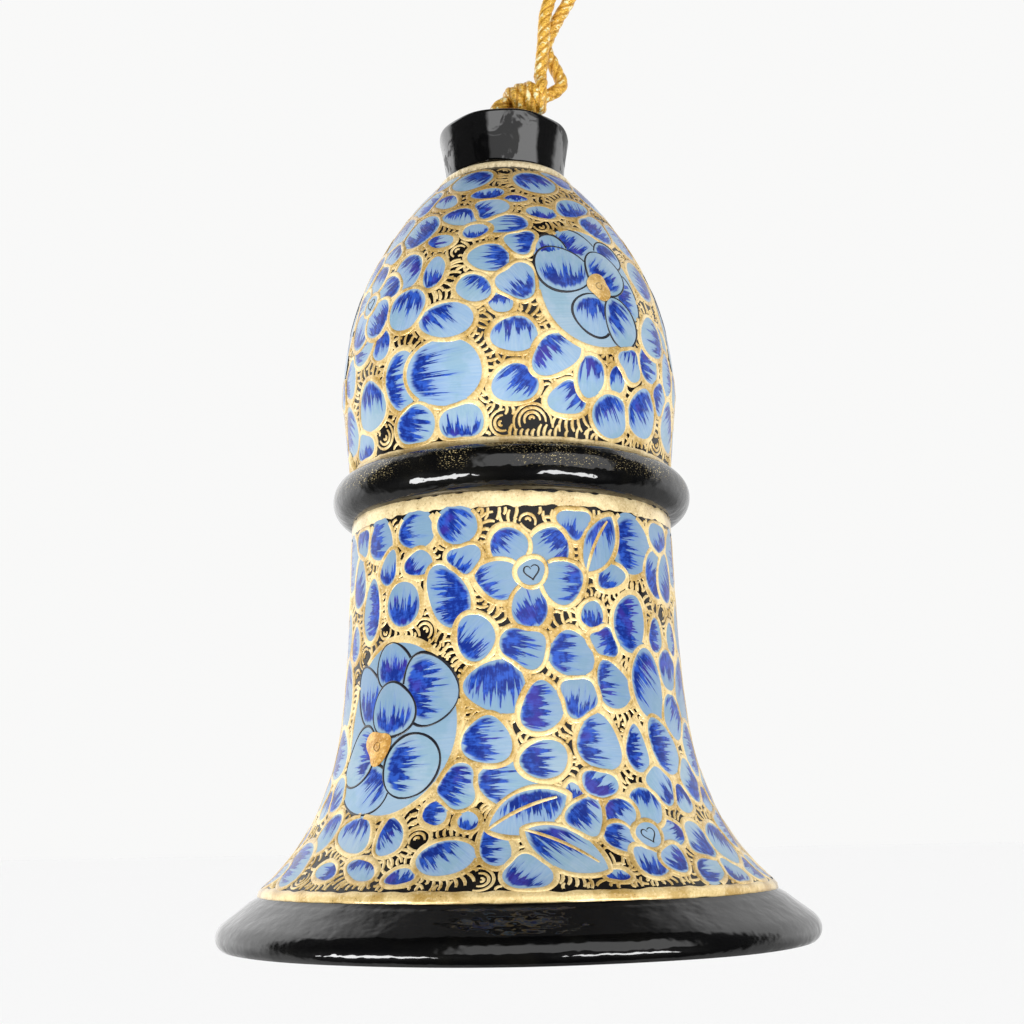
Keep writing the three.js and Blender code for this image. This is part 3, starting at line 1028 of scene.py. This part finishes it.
class Painter:
    """Paints one wall: flowers and leaves, which may lie over one another, then gold lines and ground."""

    def __init__(self, wall, low, high, seed):
        self.wall, self.low, self.high = wall, low, high
        self.rng = np.random.default_rng(seed)
        self.blue, self.contour, self.gold = Layer(wall), Layer(wall), Layer(wall)
        self.columns = int(round(2 * math.pi / CELL_ANGLE))
        self.owner = np.zeros((self.columns, int(wall.length / CELL_RUN) + 2), int)
        self.depth = np.zeros(self.owner.shape, int)
        self.lines, self.marks = [], []
        self.shapes = 0

    # -- which ground is taken, and by which shape

    def cells(self, angle, run):
        column = np.round(np.asarray(angle) / CELL_ANGLE).astype(int) % self.columns
        row = np.clip(np.round(np.asarray(run) / CELL_RUN).astype(int), 0, self.owner.shape[1] - 1)
        return column, row

    def on_wall(self, origin, path):
        run = origin[1] + path[:, 1]
        return origin[0] + path[:, 0] / self.wall.radius_at(run), run

    def inside(self, origin, outline):
        """Cells of the ground that lie inside a closed outline."""
        angle, run = self.on_wall(origin, outline)
        columns = np.arange(math.floor(angle.min() / CELL_ANGLE), math.ceil(angle.max() / CELL_ANGLE) + 1)
        top = min(self.owner.shape[1] - 1, math.ceil(run.max() / CELL_RUN))
        rows = np.arange(max(0, math.floor(run.min() / CELL_RUN)), top + 1)
        x, y = np.meshgrid(columns * CELL_ANGLE, rows * CELL_RUN, indexing="ij")
        hit = np.zeros(x.shape, bool)
        for i in range(len(run)):
            j = i - 1
            crosses = (run[i] > y) != (run[j] > y)
            slant = (angle[j] - angle[i]) * (y - run[i]) / (run[j] - run[i] + 1e-12) + angle[i]
            hit ^= crosses & (x < slant)
        column, row = np.meshgrid(columns % self.columns, rows, indexing="ij")
        return column[hit], row[hit]

    def claim(self, origin, outline):
        """Takes the outline's ground for a new shape: its number, and how many shapes it lies over."""
        self.shapes += 1
        cells = self.inside(origin, outline)
        depth = int(self.depth[cells].max(initial=0))
        self.owner[cells] = self.shapes
        self.depth[cells] = depth + 1
        return self.shapes, depth

    def origin(self, angle, height):
        return math.radians(angle), self.wall.at_height(height)

    # -- brush work

    def shape(self, origin, outline, ink, edge, line, width):
        """One painted shape over whatever is there. ink is the side, in degrees, the strokes come from."""
        number, depth = self.claim(origin, outline)
        base = PETAL_LIFT + LEVEL_LIFT * depth
        points, lift, faces, reach = filled(outline, base, 0.02)
        local = points - points[0]
        a = math.radians(ink)
        along = local @ np.array([math.cos(a), math.sin(a)])
        across = local @ np.array([-math.sin(a), math.cos(a)])
        stroke = np.stack([along / np.abs(along).max(), across / 2, reach], axis=1)
        paint = (self.rng.uniform(0, 40), edge, self.rng.uniform(0, 1) ** 2)
        self.blue.add(origin, points, lift, faces, stroke, paint)
        self.lines.append((number, base, origin, outline, line, width))
        return base

    def open_line(self, layer, origin, path, width, lift, step=0.1):
        """A brush line that thins out at both ends."""
        path = resample(path, step)
        swell = np.sin(np.linspace(0.25, math.pi - 0.25, len(path))) ** 0.4
        layer.add(origin, *ribbon(path, width * swell, lift, False))

    def draw_outlines(self):
        """Every outline, left out where a later shape covers it."""
        kinds = {"gold": (self.gold, OUTLINE_LIFT, 0.24), "contour": (self.contour, CONTOUR_LIFT, 0.4)}
        for number, base, origin, outline, kind, width in self.lines:
            layer, lift, swell = kinds[kind]
            path = closed_resample(outline, 0.24)
            over = self.owner[self.cells(*self.on_wall(origin, path))] <= number
            widths = hand_width(len(path), width, self.rng, swell)
            whole = over.all()
            for run in [slice(None)] if whole else seen_runs(over):
                layer.add(origin, *ribbon(path[run], widths[run], base + lift, whole))

    def petal(self, angle, height, across, up, tilt, ink, edge):
        """A single petal with its gold outline. across and up are halves."""
        outline = petal_outline(across * 1.1, up * 1.1, self.rng, tilt, self.rng.uniform(0.04, 0.24))
        self.shape(self.origin(angle, height), outline, ink, edge, "gold", OUTLINE_WIDTH)

    def leaf(self, angle, height, length, width, tilt, ink, edge):
        """A leaf pointed at both ends, with a bowed gold vein. length and width are halves."""
        t = circle(48)
        lens = np.stack([length * np.cos(t), width * np.sin(t) * np.abs(np.sin(t)) ** 0.5], axis=1)
        origin = self.origin(angle, height)
        base = self.shape(origin, rotate(lens, tilt), ink, edge, "gold", OUTLINE_WIDTH)
        along = np.linspace(-1.02, 0.72, 12)
        vein = np.stack([along * length, 0.26 * width * (1 - along**2)], axis=1)
        self.open_line(self.gold, origin, rotate(vein, tilt), 0.44, base + OUTLINE_LIFT, 0.15)

    def drip(self, angle, height, across, up, tilt):
        """A thick drop of gold left by the brush."""
        drop = petal_outline(across, up, self.rng, tilt, 0.2, 24, 0.1)
        self.gold.add(self.origin(angle, height), *filled(drop, PETAL_LIFT + 4 * LEVEL_LIFT, 0.3)[:3])

    def curl(self, origin, size, tilt, lift):
        """The small heart drawn in a flower's eye."""
        t = np.linspace(0.5, 2 * math.pi - 0.1, 30)
        x = 16 * np.sin(t) ** 3 * np.where(t < math.pi, 1.0, 0.85)
        y = 13 * np.cos(t) - 5 * np.cos(2 * t) - 2 * np.cos(3 * t) - np.cos(4 * t)
        heart = rotate(np.stack([x, y], axis=1) * size / 17, tilt)
        self.open_line(self.contour, origin, heart, 0.22, lift, 0.08)

    def flower(self, angle, height, core, petals, across, up, start, hand):
        """Petals round a pale eye ringed in gold, with a heart curl."""
        origin = self.origin(angle, height)
        for k in range(petals):
            way = start + 360 * k / petals + self.rng.uniform(-7, 7)
            a = math.radians(way)
            scale = self.rng.uniform(0.9, 1.12)
            centre = np.array([math.cos(a), math.sin(a)]) * (core + up * 0.78)
            outline = petal_outline(across * scale, up * scale, self.rng, way + 90, 0.18) + centre
            ink, edge = way + self.rng.uniform(-30, 30), self.rng.uniform(-0.2, 0.15)
            self.shape(origin, outline, ink, edge, "gold", OUTLINE_WIDTH)
        eye = petal_outline(core, core * 0.95, self.rng, egg=0.0)
        base = self.shape(origin, eye, 0, NO_INK, "gold", OUTLINE_WIDTH)
        self.curl(origin, core * 0.55, 12 * hand, base + 0.05)

    def blossom(self, angle, height, across, up, petals, heart, ochre, hand):
        """The large open flower: a pale disc, inked petals in thin black contours, and a gold heart."""
        origin = self.origin(angle, height)
        disc = petal_outline(across, up, self.rng, egg=0.05, count=60, wobble=0.02)
        self.shape(origin, disc, 0, NO_INK, "gold", OUTLINE_WIDTH * 1.3)
        size = np.array([across, up])
        for x, y, half_across, half_up, tilt, ink, edge in petals:
            outline = petal_outline(across * half_across, up * half_up, self.rng, hand * tilt, 0.1)
            outline = outline + size * (hand * x, y)
            self.shape(origin, outline, mirrored(ink, hand), edge + 0.12, "contour", 0.3)
        middle = size * (hand * heart[0], heart[1])
        base = PETAL_LIFT + CONTOUR_LIFT + len(petals) * LEVEL_LIFT
        knob = petal_outline(across * 0.25, up * 0.18, self.rng, -50 * hand, count=30, wobble=0.17)
        self.gold.add(origin, *filled(knob + middle, base, 0.06)[:3], paint=(0, ochre, 0))
        mark = petal_outline(across * 0.06, up * 0.05, self.rng, 20, count=12)
        self.open_line(self.contour, origin, mark + middle, 0.12, base + 0.09, 0.06)

    def band(self, run, width, height, wobble, seed, pale):
        """A gold line round the wall. pale whitens it towards cream as a painted highlight."""
        rng = np.random.default_rng(seed)
        t = circle(480)
        drift = sum(np.sin(k * t + rng.uniform(0, 6)) / k**0.5 for k in (2, 5, 9, 17, 31, 53)) * wobble
        swell = 1 + 0.16 * sum(np.sin(k * t + rng.uniform(0, 6)) for k in (7, 23, 47, 71)) / 2
        along = np.clip(run + drift[:, None] + BAND_ACROSS * width * swell[:, None], 0, self.wall.length)
        lift = np.array([SUNK, height * 0.8, height, height * 0.8, SUNK])
        points = self.wall.point(t[:, None] + 0 * along, along, lift)
        self.gold.add_points(points.reshape(-1, 3), grid_faces(480, 5, True, flip=True), paint=(pale, 0, 0))
        bottom, top = (int((run + way * width / 2) / CELL_RUN) for way in (-1, 1))
        self.owner[:, max(0, bottom) : top + 1] = self.shapes + 1

    # -- filling the ground

    def ground(self, angle_step, run_step):
        """Free points of the ground and how far each is from anything painted."""
        angles, runs = np.arange(0, 2 * math.pi, angle_step), np.arange(self.low, self.high, run_step)
        angle, run = (grid.ravel() for grid in np.meshgrid(angles, runs, indexing="ij"))
        full = self.owner > 0
        free = ~full[self.cells(angle, run)]
        angle, run = angle[free], run[free]
        inner = np.roll(full, 1, 0) & np.roll(full, -1, 0) & np.roll(full, 1, 1) & np.roll(full, -1, 1)
        column, row = np.nonzero(full & ~inner)
        border = self.wall.point(column * CELL_ANGLE, row * CELL_RUN, 0.0)
        tree = kdtree.KDTree(len(border))
        for index, point in enumerate(border):
            tree.insert(point, index)
        tree.balance()
        here = self.wall.point(angle, run, 0.0)
        room = np.array([tree.find(point)[2] for point in here])
        return angle, run, here, np.minimum(room, np.minimum(run - self.low, self.high - run) + 0.3)

    def grown(self, origin, size, most):
        """An outline that swells from a round start until it meets its neighbours."""
        pace = 0.12
        ways = circle(24)
        ways = np.stack([np.cos(ways), np.sin(ways)], axis=1)
        reach = np.full(24, size)
        going = np.ones(24, bool)
        for _ in range(14):
            angle, run = self.on_wall(origin, ways * (reach + pace)[:, None])
            blocked = (self.owner[self.cells(angle, run)] > 0) | (run < self.low) | (run > self.high)
            going &= ~blocked & (reach < most)
            reach[going] += pace
        reach = np.minimum(reach, size * 1.75)
        for _ in range(3):
            reach = 0.5 * reach + 0.25 * (np.roll(reach, 1) + np.roll(reach, -1))
        rough = ways * reach[:, None]
        return spline(np.vstack([rough[-1:], rough, rough[:2]]), 2)[2:-2][:48]

    def pack_petals(self, least, most, bare):
        """Single petals in every gap outside the bare discs, the roomiest first, grown to fit."""
        angle, run, here, room = self.ground(math.radians(1.1), 0.25)
        for centre, radius in bare:
            spot = self.wall.point(*np.array(centre), 0.0)
            room[np.linalg.norm(here - spot, axis=1) < radius] = 0
        while room.max() >= least:
            best = int(np.argmax(room))
            origin = (angle[best], run[best])
            outline = self.grown(origin, min(room[best] * 0.92, most * self.rng.uniform(0.75, 1)), most)
            ink = self.rng.uniform(0, 360)
            self.shape(origin, outline, ink, self.rng.uniform(-0.3, 0.25), "gold", OUTLINE_WIDTH * 0.9)
            edge = self.wall.point(*self.on_wall(origin, outline[::3]), 0.0)
            room = np.minimum(room, np.linalg.norm(here[:, None, :] - edge, axis=2).min(axis=1))
            room[self.owner[self.cells(angle, run)] > 0] = 0

    def tooth(self, origin, start, way, length, bend):
        """One short gold dash if its ground is free."""
        side = np.array([-way[1], way[0]])
        t = np.linspace(0, 1, 4)[:, None]
        path = start + way * length * t + side * bend * (t * (1 - t))
        angle, run = self.on_wall(origin, path)
        if run.min() < self.low or run.max() > self.high:
            return False
        if (self.owner[self.cells(angle[1:], run[1:])] > 0).any():
            return False
        self.gold.add(origin, *ribbon(path, TOOTH_WIDTHS * self.rng.uniform(0.9, 1.1), DASH_LIFT, False))
        self.marks.append((angle, run))
        return True

    def teeth(self):
        """Rows of short dashes that stand off every outline, and off both edges, into the free ground."""
        for _, _, origin, outline, _, _ in self.lines:
            loop = closed_resample(outline, TOOTH_SPACING)
            tangent = unit(np.roll(loop, -1, axis=0) - np.roll(loop, 1, axis=0))
            outward = np.stack([tangent[:, 1], -tangent[:, 0]], axis=1)
            bend = self.rng.choice([-1, 1]) * 0.5
            for point, way in zip(loop, outward):
                for length in (self.rng.uniform(0.95, 1.2), 0.7, 0.45):
                    if self.tooth(origin, point + way * 0.2, way, length, bend):
                        break
            self.settle_marks()
        for run, way in ((self.low + 0.12, 1.0), (self.high - 0.12, -1.0)):
            count = int(2 * math.pi * float(self.wall.radius_at(run)) / TOOTH_SPACING)
            for k in range(count):
                origin = (2 * math.pi * k / count, run)
                for length in (1.0, 0.6):
                    if self.tooth(origin, 0, np.array([0.25 * way, way]), length, 0.4):
                        break
            self.settle_marks()

    def settle_marks(self):
        """Takes the ground of the dashes drawn since the last call."""
        for angle, run in self.marks:
            spread = 0.14 / self.wall.radius_at(run)
            for shift in (-1, 0, 1):
                for rise in (-0.1, 0, 0.1):
                    self.owner[self.cells(angle + shift * spread, run + rise)] = self.shapes + 1
        self.marks = []

    def scales(self, least):
        """Fans of nested arcs in the larger pieces of free ground."""
        angle, run, here, room = self.ground(math.radians(0.9), 0.2)
        t = np.radians(np.linspace(-15, 195, 12))
        fan = np.stack([np.cos(t), np.sin(t) - 0.2], axis=1)
        while room.max() >= least:
            best = int(np.argmax(room))
            size, origin = room[best], (angle[best], run[best])
            turn = self.rng.uniform(0, 360)
            for radius in np.arange(0.2, size + 0.12, ARC_SPACING):
                self.open_line(self.gold, origin, rotate(fan * radius, turn), ARC_WIDTH, DASH_LIFT, 0.15)
            disc = petal_outline(size, size * 0.7, self.rng, wobble=0) + [0, size * 0.25]
            self.owner[self.inside(origin, rotate(disc, turn))] = self.shapes + 1
            room = np.minimum(room, np.linalg.norm(here - here[best], axis=1) - size)


# Petals of the large flowers: place and half size as shares of the flower's, tilt, side of the ink, and how
# far in it ends
DOME_BLOSSOM = [
    (-0.18, 0.7, 0.42, 0.26, 0, DOWN_LEFT, -0.2), (-0.62, 0.52, 0.3, 0.28, 20, DOWN, -0.3),
    (-0.5, 0.2, 0.46, 0.4, -12, DOWN, -0.1), (0.47, 0.6, 0.3, 0.25, -25, UP_LEFT, -0.4),
    (0.72, -0.08, 0.25, 0.4, -8, LEFT, -0.2), (-0.05, -0.48, 0.38, 0.32, 25, UP, -0.1),
    (0.5, -0.52, 0.33, 0.4, -20, UP_LEFT, -0.1), (0.3, 0.24, 0.4, 0.36, -10, DOWN_LEFT, -0.15),
]

SKIRT_BLOSSOM = [
    (-0.58, 0.38, 0.28, 0.36, -20, DOWN, -0.2), (-0.1, 0.68, 0.32, 0.27, 0, DOWN, -0.35),
    (0.5, 0.4, 0.4, 0.42, -30, LEFT, -0.35), (-0.37, -0.66, 0.5, 0.28, 12, UP_RIGHT, 0.1),
    (-0.62, -0.3, 0.32, 0.34, 15, RIGHT, 0.0), (0.36, -0.42, 0.46, 0.34, 8, LEFT, -0.1),
    (-0.06, 0.2, 0.38, 0.31, 0, DOWN, -0.05),
]

# Single petals: angle from the front, height, half width, half height, tilt, side of the ink
DOME_PETALS = [
    (-52, 45, 1.9, 2.3, 0, UP), (-37, 46.4, 1.7, 2.6, 10, LEFT), (-21, 46.4, 3.2, 2.9, 0, LEFT),
    (-20, 50.9, 2.5, 1.6, 10, UP_LEFT), (-46, 50, 1.2, 1.5, 0, UP), (2, 49.2, 1.9, 1.7, 0, UP),
    (2, 45, 1.9, 1.7, 0, UP_RIGHT), (19, 43.9, 1.7, 1.5, 0, UP_RIGHT), (27, 45.9, 1.3, 1.9, 0, UP),
    (37, 46, 0.9, 1.3, 0, UP), (50, 43.8, 1.9, 2.2, 0, UP_LEFT), (53, 48.4, 1.4, 1.9, 0, LEFT),
    (63, 51, 1.9, 1.9, 0, LEFT), (-2, 52, 1.2, 0.9, 10, UP), (-26, 55.8, 1.1, 1.7, 0, DOWN),
    (-11, 53.6, 1.7, 1.3, 30, UP_RIGHT), (-38, 56.6, 1.6, 1.9, -20, UP_RIGHT),
    (-6, 56.6, 1.8, 1.6, 20, RIGHT), (15, 47.6, 2.2, 1.7, -30, UP_LEFT), (-26, 59, 1.4, 0.9, 20, LEFT),
    (-20, 61.6, 1.8, 1.2, 25, UP), (0, 60.2, 1.9, 1.3, -10, RIGHT), (-12, 59.6, 1.2, 1, 0, DOWN),
    (16, 61.8, 1.4, 1, 0, DOWN), (-9, 64.2, 1.6, 0.9, 0, DOWN), (5, 63.4, 1.1, 0.7, 0, UP),
    (-31, 64, 1.5, 1, 30, UP), (33, 63, 2.2, 1.2, -35, DOWN),
]

SKIRT_PETALS = [
    (-50, 33.2, 1.6, 1.9, 0, LEFT), (-33, 33.4, 1.9, 1.6, 0, LEFT), (-18, 33.4, 1.8, 1.6, 0, UP_LEFT),
    (44, 32.2, 2.3, 2.4, -20, LEFT), (34, 29.2, 1.6, 1, -20, DOWN_LEFT), (-45, 30.6, 1.1, 1.5, 20, DOWN),
    (-32, 30.6, 1.4, 1.2, 0, DOWN_LEFT), (-54, 27.4, 1.3, 2.6, 0, RIGHT), (-21, 27.6, 1.8, 2.6, -25, RIGHT),
    (-38, 27.4, 1.9, 1.8, 0, DOWN), (-12, 24.2, 1.6, 1.9, -25, DOWN_LEFT), (26, 26, 1.1, 1.2, 0, DOWN),
    (41, 25.6, 1.8, 2.4, 20, LEFT), (54, 24.8, 1.1, 1.5, 0, LEFT), (56, 30, 1.4, 2.1, 0, DOWN_LEFT),
    (18, 22.8, 1.9, 1.9, -10, LEFT), (-5, 20.2, 2.4, 2.2, 20, UP), (32, 20.4, 1.6, 2, -20, LEFT),
    (47, 20.6, 1.9, 2.9, -10, UP_LEFT), (8, 18.6, 1.7, 2, 0, LEFT), (-2, 12.6, 2.3, 1.9, 15, LEFT),
    (8, 14.4, 1.9, 1.6, 0, LEFT), (-8, 16, 1.9, 2, 0, LEFT), (25, 15.8, 1.8, 2.4, 0, LEFT),
    (38, 15.3, 1.2, 2, 0, LEFT), (50, 15.6, 1.8, 2.3, -20, LEFT), (52, 11.4, 1.2, 1.3, 0, UP),
    (15, 12, 0.8, 0.8, 0, DOWN), (-57, 9.2, 1.4, 1.9, 20, UP), (-32, 8.8, 1.2, 1.8, -10, UP_LEFT),
    (-36, 6.4, 1.7, 1, 20, UP), (-47, 6.3, 1.5, 0.9, 20, RIGHT), (-44, 9, 2, 1.6, 25, UP),
    (-25, 5.9, 1.3, 0.9, 0, DOWN), (-16, 7.2, 2.2, 1.7, -10, UP_LEFT), (-21, 10.5, 1.1, 1.1, 0, LEFT),
    (-12, 9.9, 0.9, 0.9, 0, DOWN), (-5, 8, 1.2, 1.9, -20, LEFT), (21, 5.8, 1, 0.7, 0, DOWN),
    (46, 5.9, 1.9, 1.2, -30, LEFT), (-64, 6.8, 2.7, 1.9, 30, LEFT),
]

# Ground left to fans and dashes: angle, height, radius
DOME_BARE = [(-5, 42.2, 2.5), (-24, 41.6, 1.9), (12, 41.8, 1.9), (30, 41.8, 1.7), (-48, 41.6, 1.5)]
SKIRT_BARE = [
    (-5, 5.2, 2.0), (-27, 12.4, 1.6), (12, 12.6, 1.2), (20, 26.4, 1.7), (-8, 22.9, 1.5), (-29, 24.2, 1.3),
]

# Pointed leaves: angle, height, half length, half width, tilt, side of the ink, how far in it ends
SKIRT_LEAVES = [
    (3, 10.4, 3.5, 1.9, 24, UP, 0), (11, 7.6, 3.6, 2, -32, UP_LEFT, 0.1), (30, 31.9, 2.9, 1.6, 62, UP, 0.1),
]


def sectors():
    """(turn, hand): the arrangement goes three times round the bell, the second time as its mirror image."""
    return ((0, 1), (120, -1), (240, 1))


def mirrored(ink, hand):
    return ink if hand == 1 else 180 - ink


def paint_petals(painter, petals):
    for turn, hand in sectors():
        for angle, height, across, up, tilt, ink in petals:
            edge = painter.rng.uniform(-0.25, 0.2)
            painter.petal(turn + hand * angle, height, across, up, hand * tilt, mirrored(ink, hand), edge)


def fill_ground(painter, bare):
    """Everything between the placed flowers. bare lists the ground left to fans and dashes."""
    discs = []
    for turn, hand in sectors():
        discs += [(painter.origin(turn + hand * angle, height), size) for angle, height, size in bare]
    painter.pack_petals(1.05, 2.1, discs)
    painter.draw_outlines()
    painter.scales(0.95)
    painter.teeth()
    painter.scales(0.38)


def paint_dome():
    painter = Painter(DOME, DOME.at_height(WAIST_TOP + 0.25), DOME.at_height(DOME_TOP - 1.1), 21)
    paint_petals(painter, DOME_PETALS)
    for turn, hand in sectors():
        painter.flower(turn - hand * 56, 54.6, 1.15, 5, 1.6, 1.75, 20, hand)
        painter.blossom(turn + hand * 30, 54.4, 5.3, 6.1, DOME_BLOSSOM, (0.11, -0.02), 0.4, hand)
    painter.band(DOME.at_height(WAIST_TOP) + 0.15, 0.55, 0.07, 0.04, 3, 0.2)
    painter.band(DOME.at_height(DOME_TOP) - 0.5, 1.15, 0.4, 0.04, 4, 0.7)
    painter.drip(-72, 41.2, 1.5, 0.5, 50)
    fill_ground(painter, DOME_BARE)
    return painter


def paint_skirt():
    painter = Painter(SKIRT, SKIRT.at_height(RIM_TOP + 0.8), SKIRT.at_height(WAIST_BOTTOM - 1.3), 33)
    paint_petals(painter, SKIRT_PETALS)
    for turn, hand in sectors():
        for angle, height, length, width, tilt, ink, edge in SKIRT_LEAVES:
            painter.leaf(turn + hand * angle, height, length, width, hand * tilt, mirrored(ink, hand), edge)
        painter.flower(turn + hand * 6, 29.3, 1.3, 5, 1.75, 1.9, 54, hand)
        painter.flower(turn + hand * 33, 8.6, 1.35, 6, 1.5, 1.65, 10, hand)
        painter.blossom(turn - hand * 39, 17.3, 6.1, 7.4, SKIRT_BLOSSOM, (-0.26, -0.2), 0.9, hand)
    painter.band(SKIRT.at_height(WAIST_BOTTOM) - 0.62, 1.45, 0.07, 0.05, 5, 0.4)
    painter.band(SKIRT.at_height(RIM_TOP + 0.42), 1.2, 0.06, 0.05, 6, 0.0)
    fill_ground(painter, SKIRT_BARE)
    return painter


for part, painter in (("dome", paint_dome()), ("skirt", paint_skirt())):
    painter.blue.make(f"{part}_blue_petals", BLUE, "blue_paint")
    painter.contour.make(f"{part}_black_contours", CONTOUR, "black_lacquer")
    painter.gold.make(f"{part}_gold_lines", GOLD, "gold_paint")


# ------------------------------------------------------------------ stage and light

FLOOR_DROP = 60.0  # below the rim plane


def make_stage():
    """A pale floor well below the hanging bell."""
    data = bpy.data.meshes.new("floor")
    level_m, half_m = RIM_PLANE_M - FLOOR_DROP * MM, 6.0
    corners = [(x * half_m, y * half_m, level_m) for x, y in ((-1, -1), (1, -1), (1, 1), (-1, 1))]
    data.from_pydata(corners, [], [(0, 1, 2, 3)])
    floor = add_object("floor", data)
    shader = Shader("floor_white", Roughness=0.9, Base_Color=(0.9, 0.9, 0.9, 1))
    data.materials.append(shader.material)
    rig.stage(floor)
    floor.visible_glossy = False


def make_glow(name, azimuth, distance, wide, deep, power):
    """A soft light panel lying on the floor. azimuth is in degrees from the front, to the right."""
    light = bpy.data.lights.new(name, "AREA")
    light.shape = "RECTANGLE"
    light.size, light.size_y = wide * MM, deep * MM
    light.energy = power
    obj = add_object(name, light)
    a = math.radians(azimuth)
    obj.location = to_frame(np.array([distance * math.sin(a), -distance * math.cos(a), 1 - FLOOR_DROP]))
    obj.rotation_euler = (math.pi, 0, a)
    obj.visible_camera = False


# How bright the room is in reflections: by degrees from the front, to the right, and by height from 0
# (straight down) through 0.5 (level) to 1 (straight up)
WALL_LEVELS = [(-180, 0.8), (-150, 1.3), (-108, 1.7), (-97, 0.04), (98, 0.04), (108, 1.3), (150, 0.8)]
WINDOW_LEVELS = [(-180, 0), (-27, 0), (-20, 1.5), (62, 1.5), (70, 0), (180, 0)]
WALL_RISE = [(0, 0.25), (0.3, 0.4), (0.48, 1), (0.85, 1), (0.94, 0.1), (1, 0.1)]
WINDOW_RISE = [(0.43, 0), (0.455, 1), (0.84, 1), (0.88, 0), (1, 0)]
DAYLIGHT = (1.06, 1.06, 1.06, 1)
BACKDROP = (0.945, 0.945, 0.94, 1)


def make_world():
    """A white room. In reflections it is a dim room with a bright window in front and pale walls behind."""
    world = bpy.data.worlds.new("studio")
    bpy.context.scene.world = world
    world.use_nodes = True
    nodes = Nodes(world.node_tree)
    east, north, up = nodes.split(nodes.add("TexCoord").outputs["Generated"])
    turn = nodes.scaled(nodes.math("ARCTAN2", east, nodes.times(north, -1.0)), 1 / (2 * math.pi), 0.5)
    rise = nodes.scaled(up, 0.5, 0.5)
    walls, window = (
        nodes.ramp(turn, [(degrees / 360 + 0.5, level) for degrees, level in levels])
        for levels in (WALL_LEVELS, WINDOW_LEVELS)
    )
    room = nodes.times(walls, nodes.ramp(rise, WALL_RISE))
    seen = nodes.math("ADD", room, nodes.times(window, nodes.ramp(rise, WINDOW_RISE)))
    rays = nodes.add("LightPath").outputs
    colour = nodes.mix(rays["Is Glossy Ray"], DAYLIGHT, seen)
    colour = nodes.mix(rays["Is Camera Ray"], colour, BACKDROP)
    nodes.link(colour, nodes.tree.nodes["Background"].inputs["Color"])


make_stage()
make_world()
make_glow("glow_left", -50, 140, 100, 60, 0.34)
make_glow("glow_right", 38, 140, 85, 60, 0.28)
bpy.context.scene.view_settings.view_transform = "Standard"


# ------------------------------------------------------------------ finish

sizes = {
    "cad": [list(cad_low), list(cad_high)],
    "visual": [list(corner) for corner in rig.bounds()],
}
with open("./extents.json", "w") as out:
    json.dump(sizes, out)
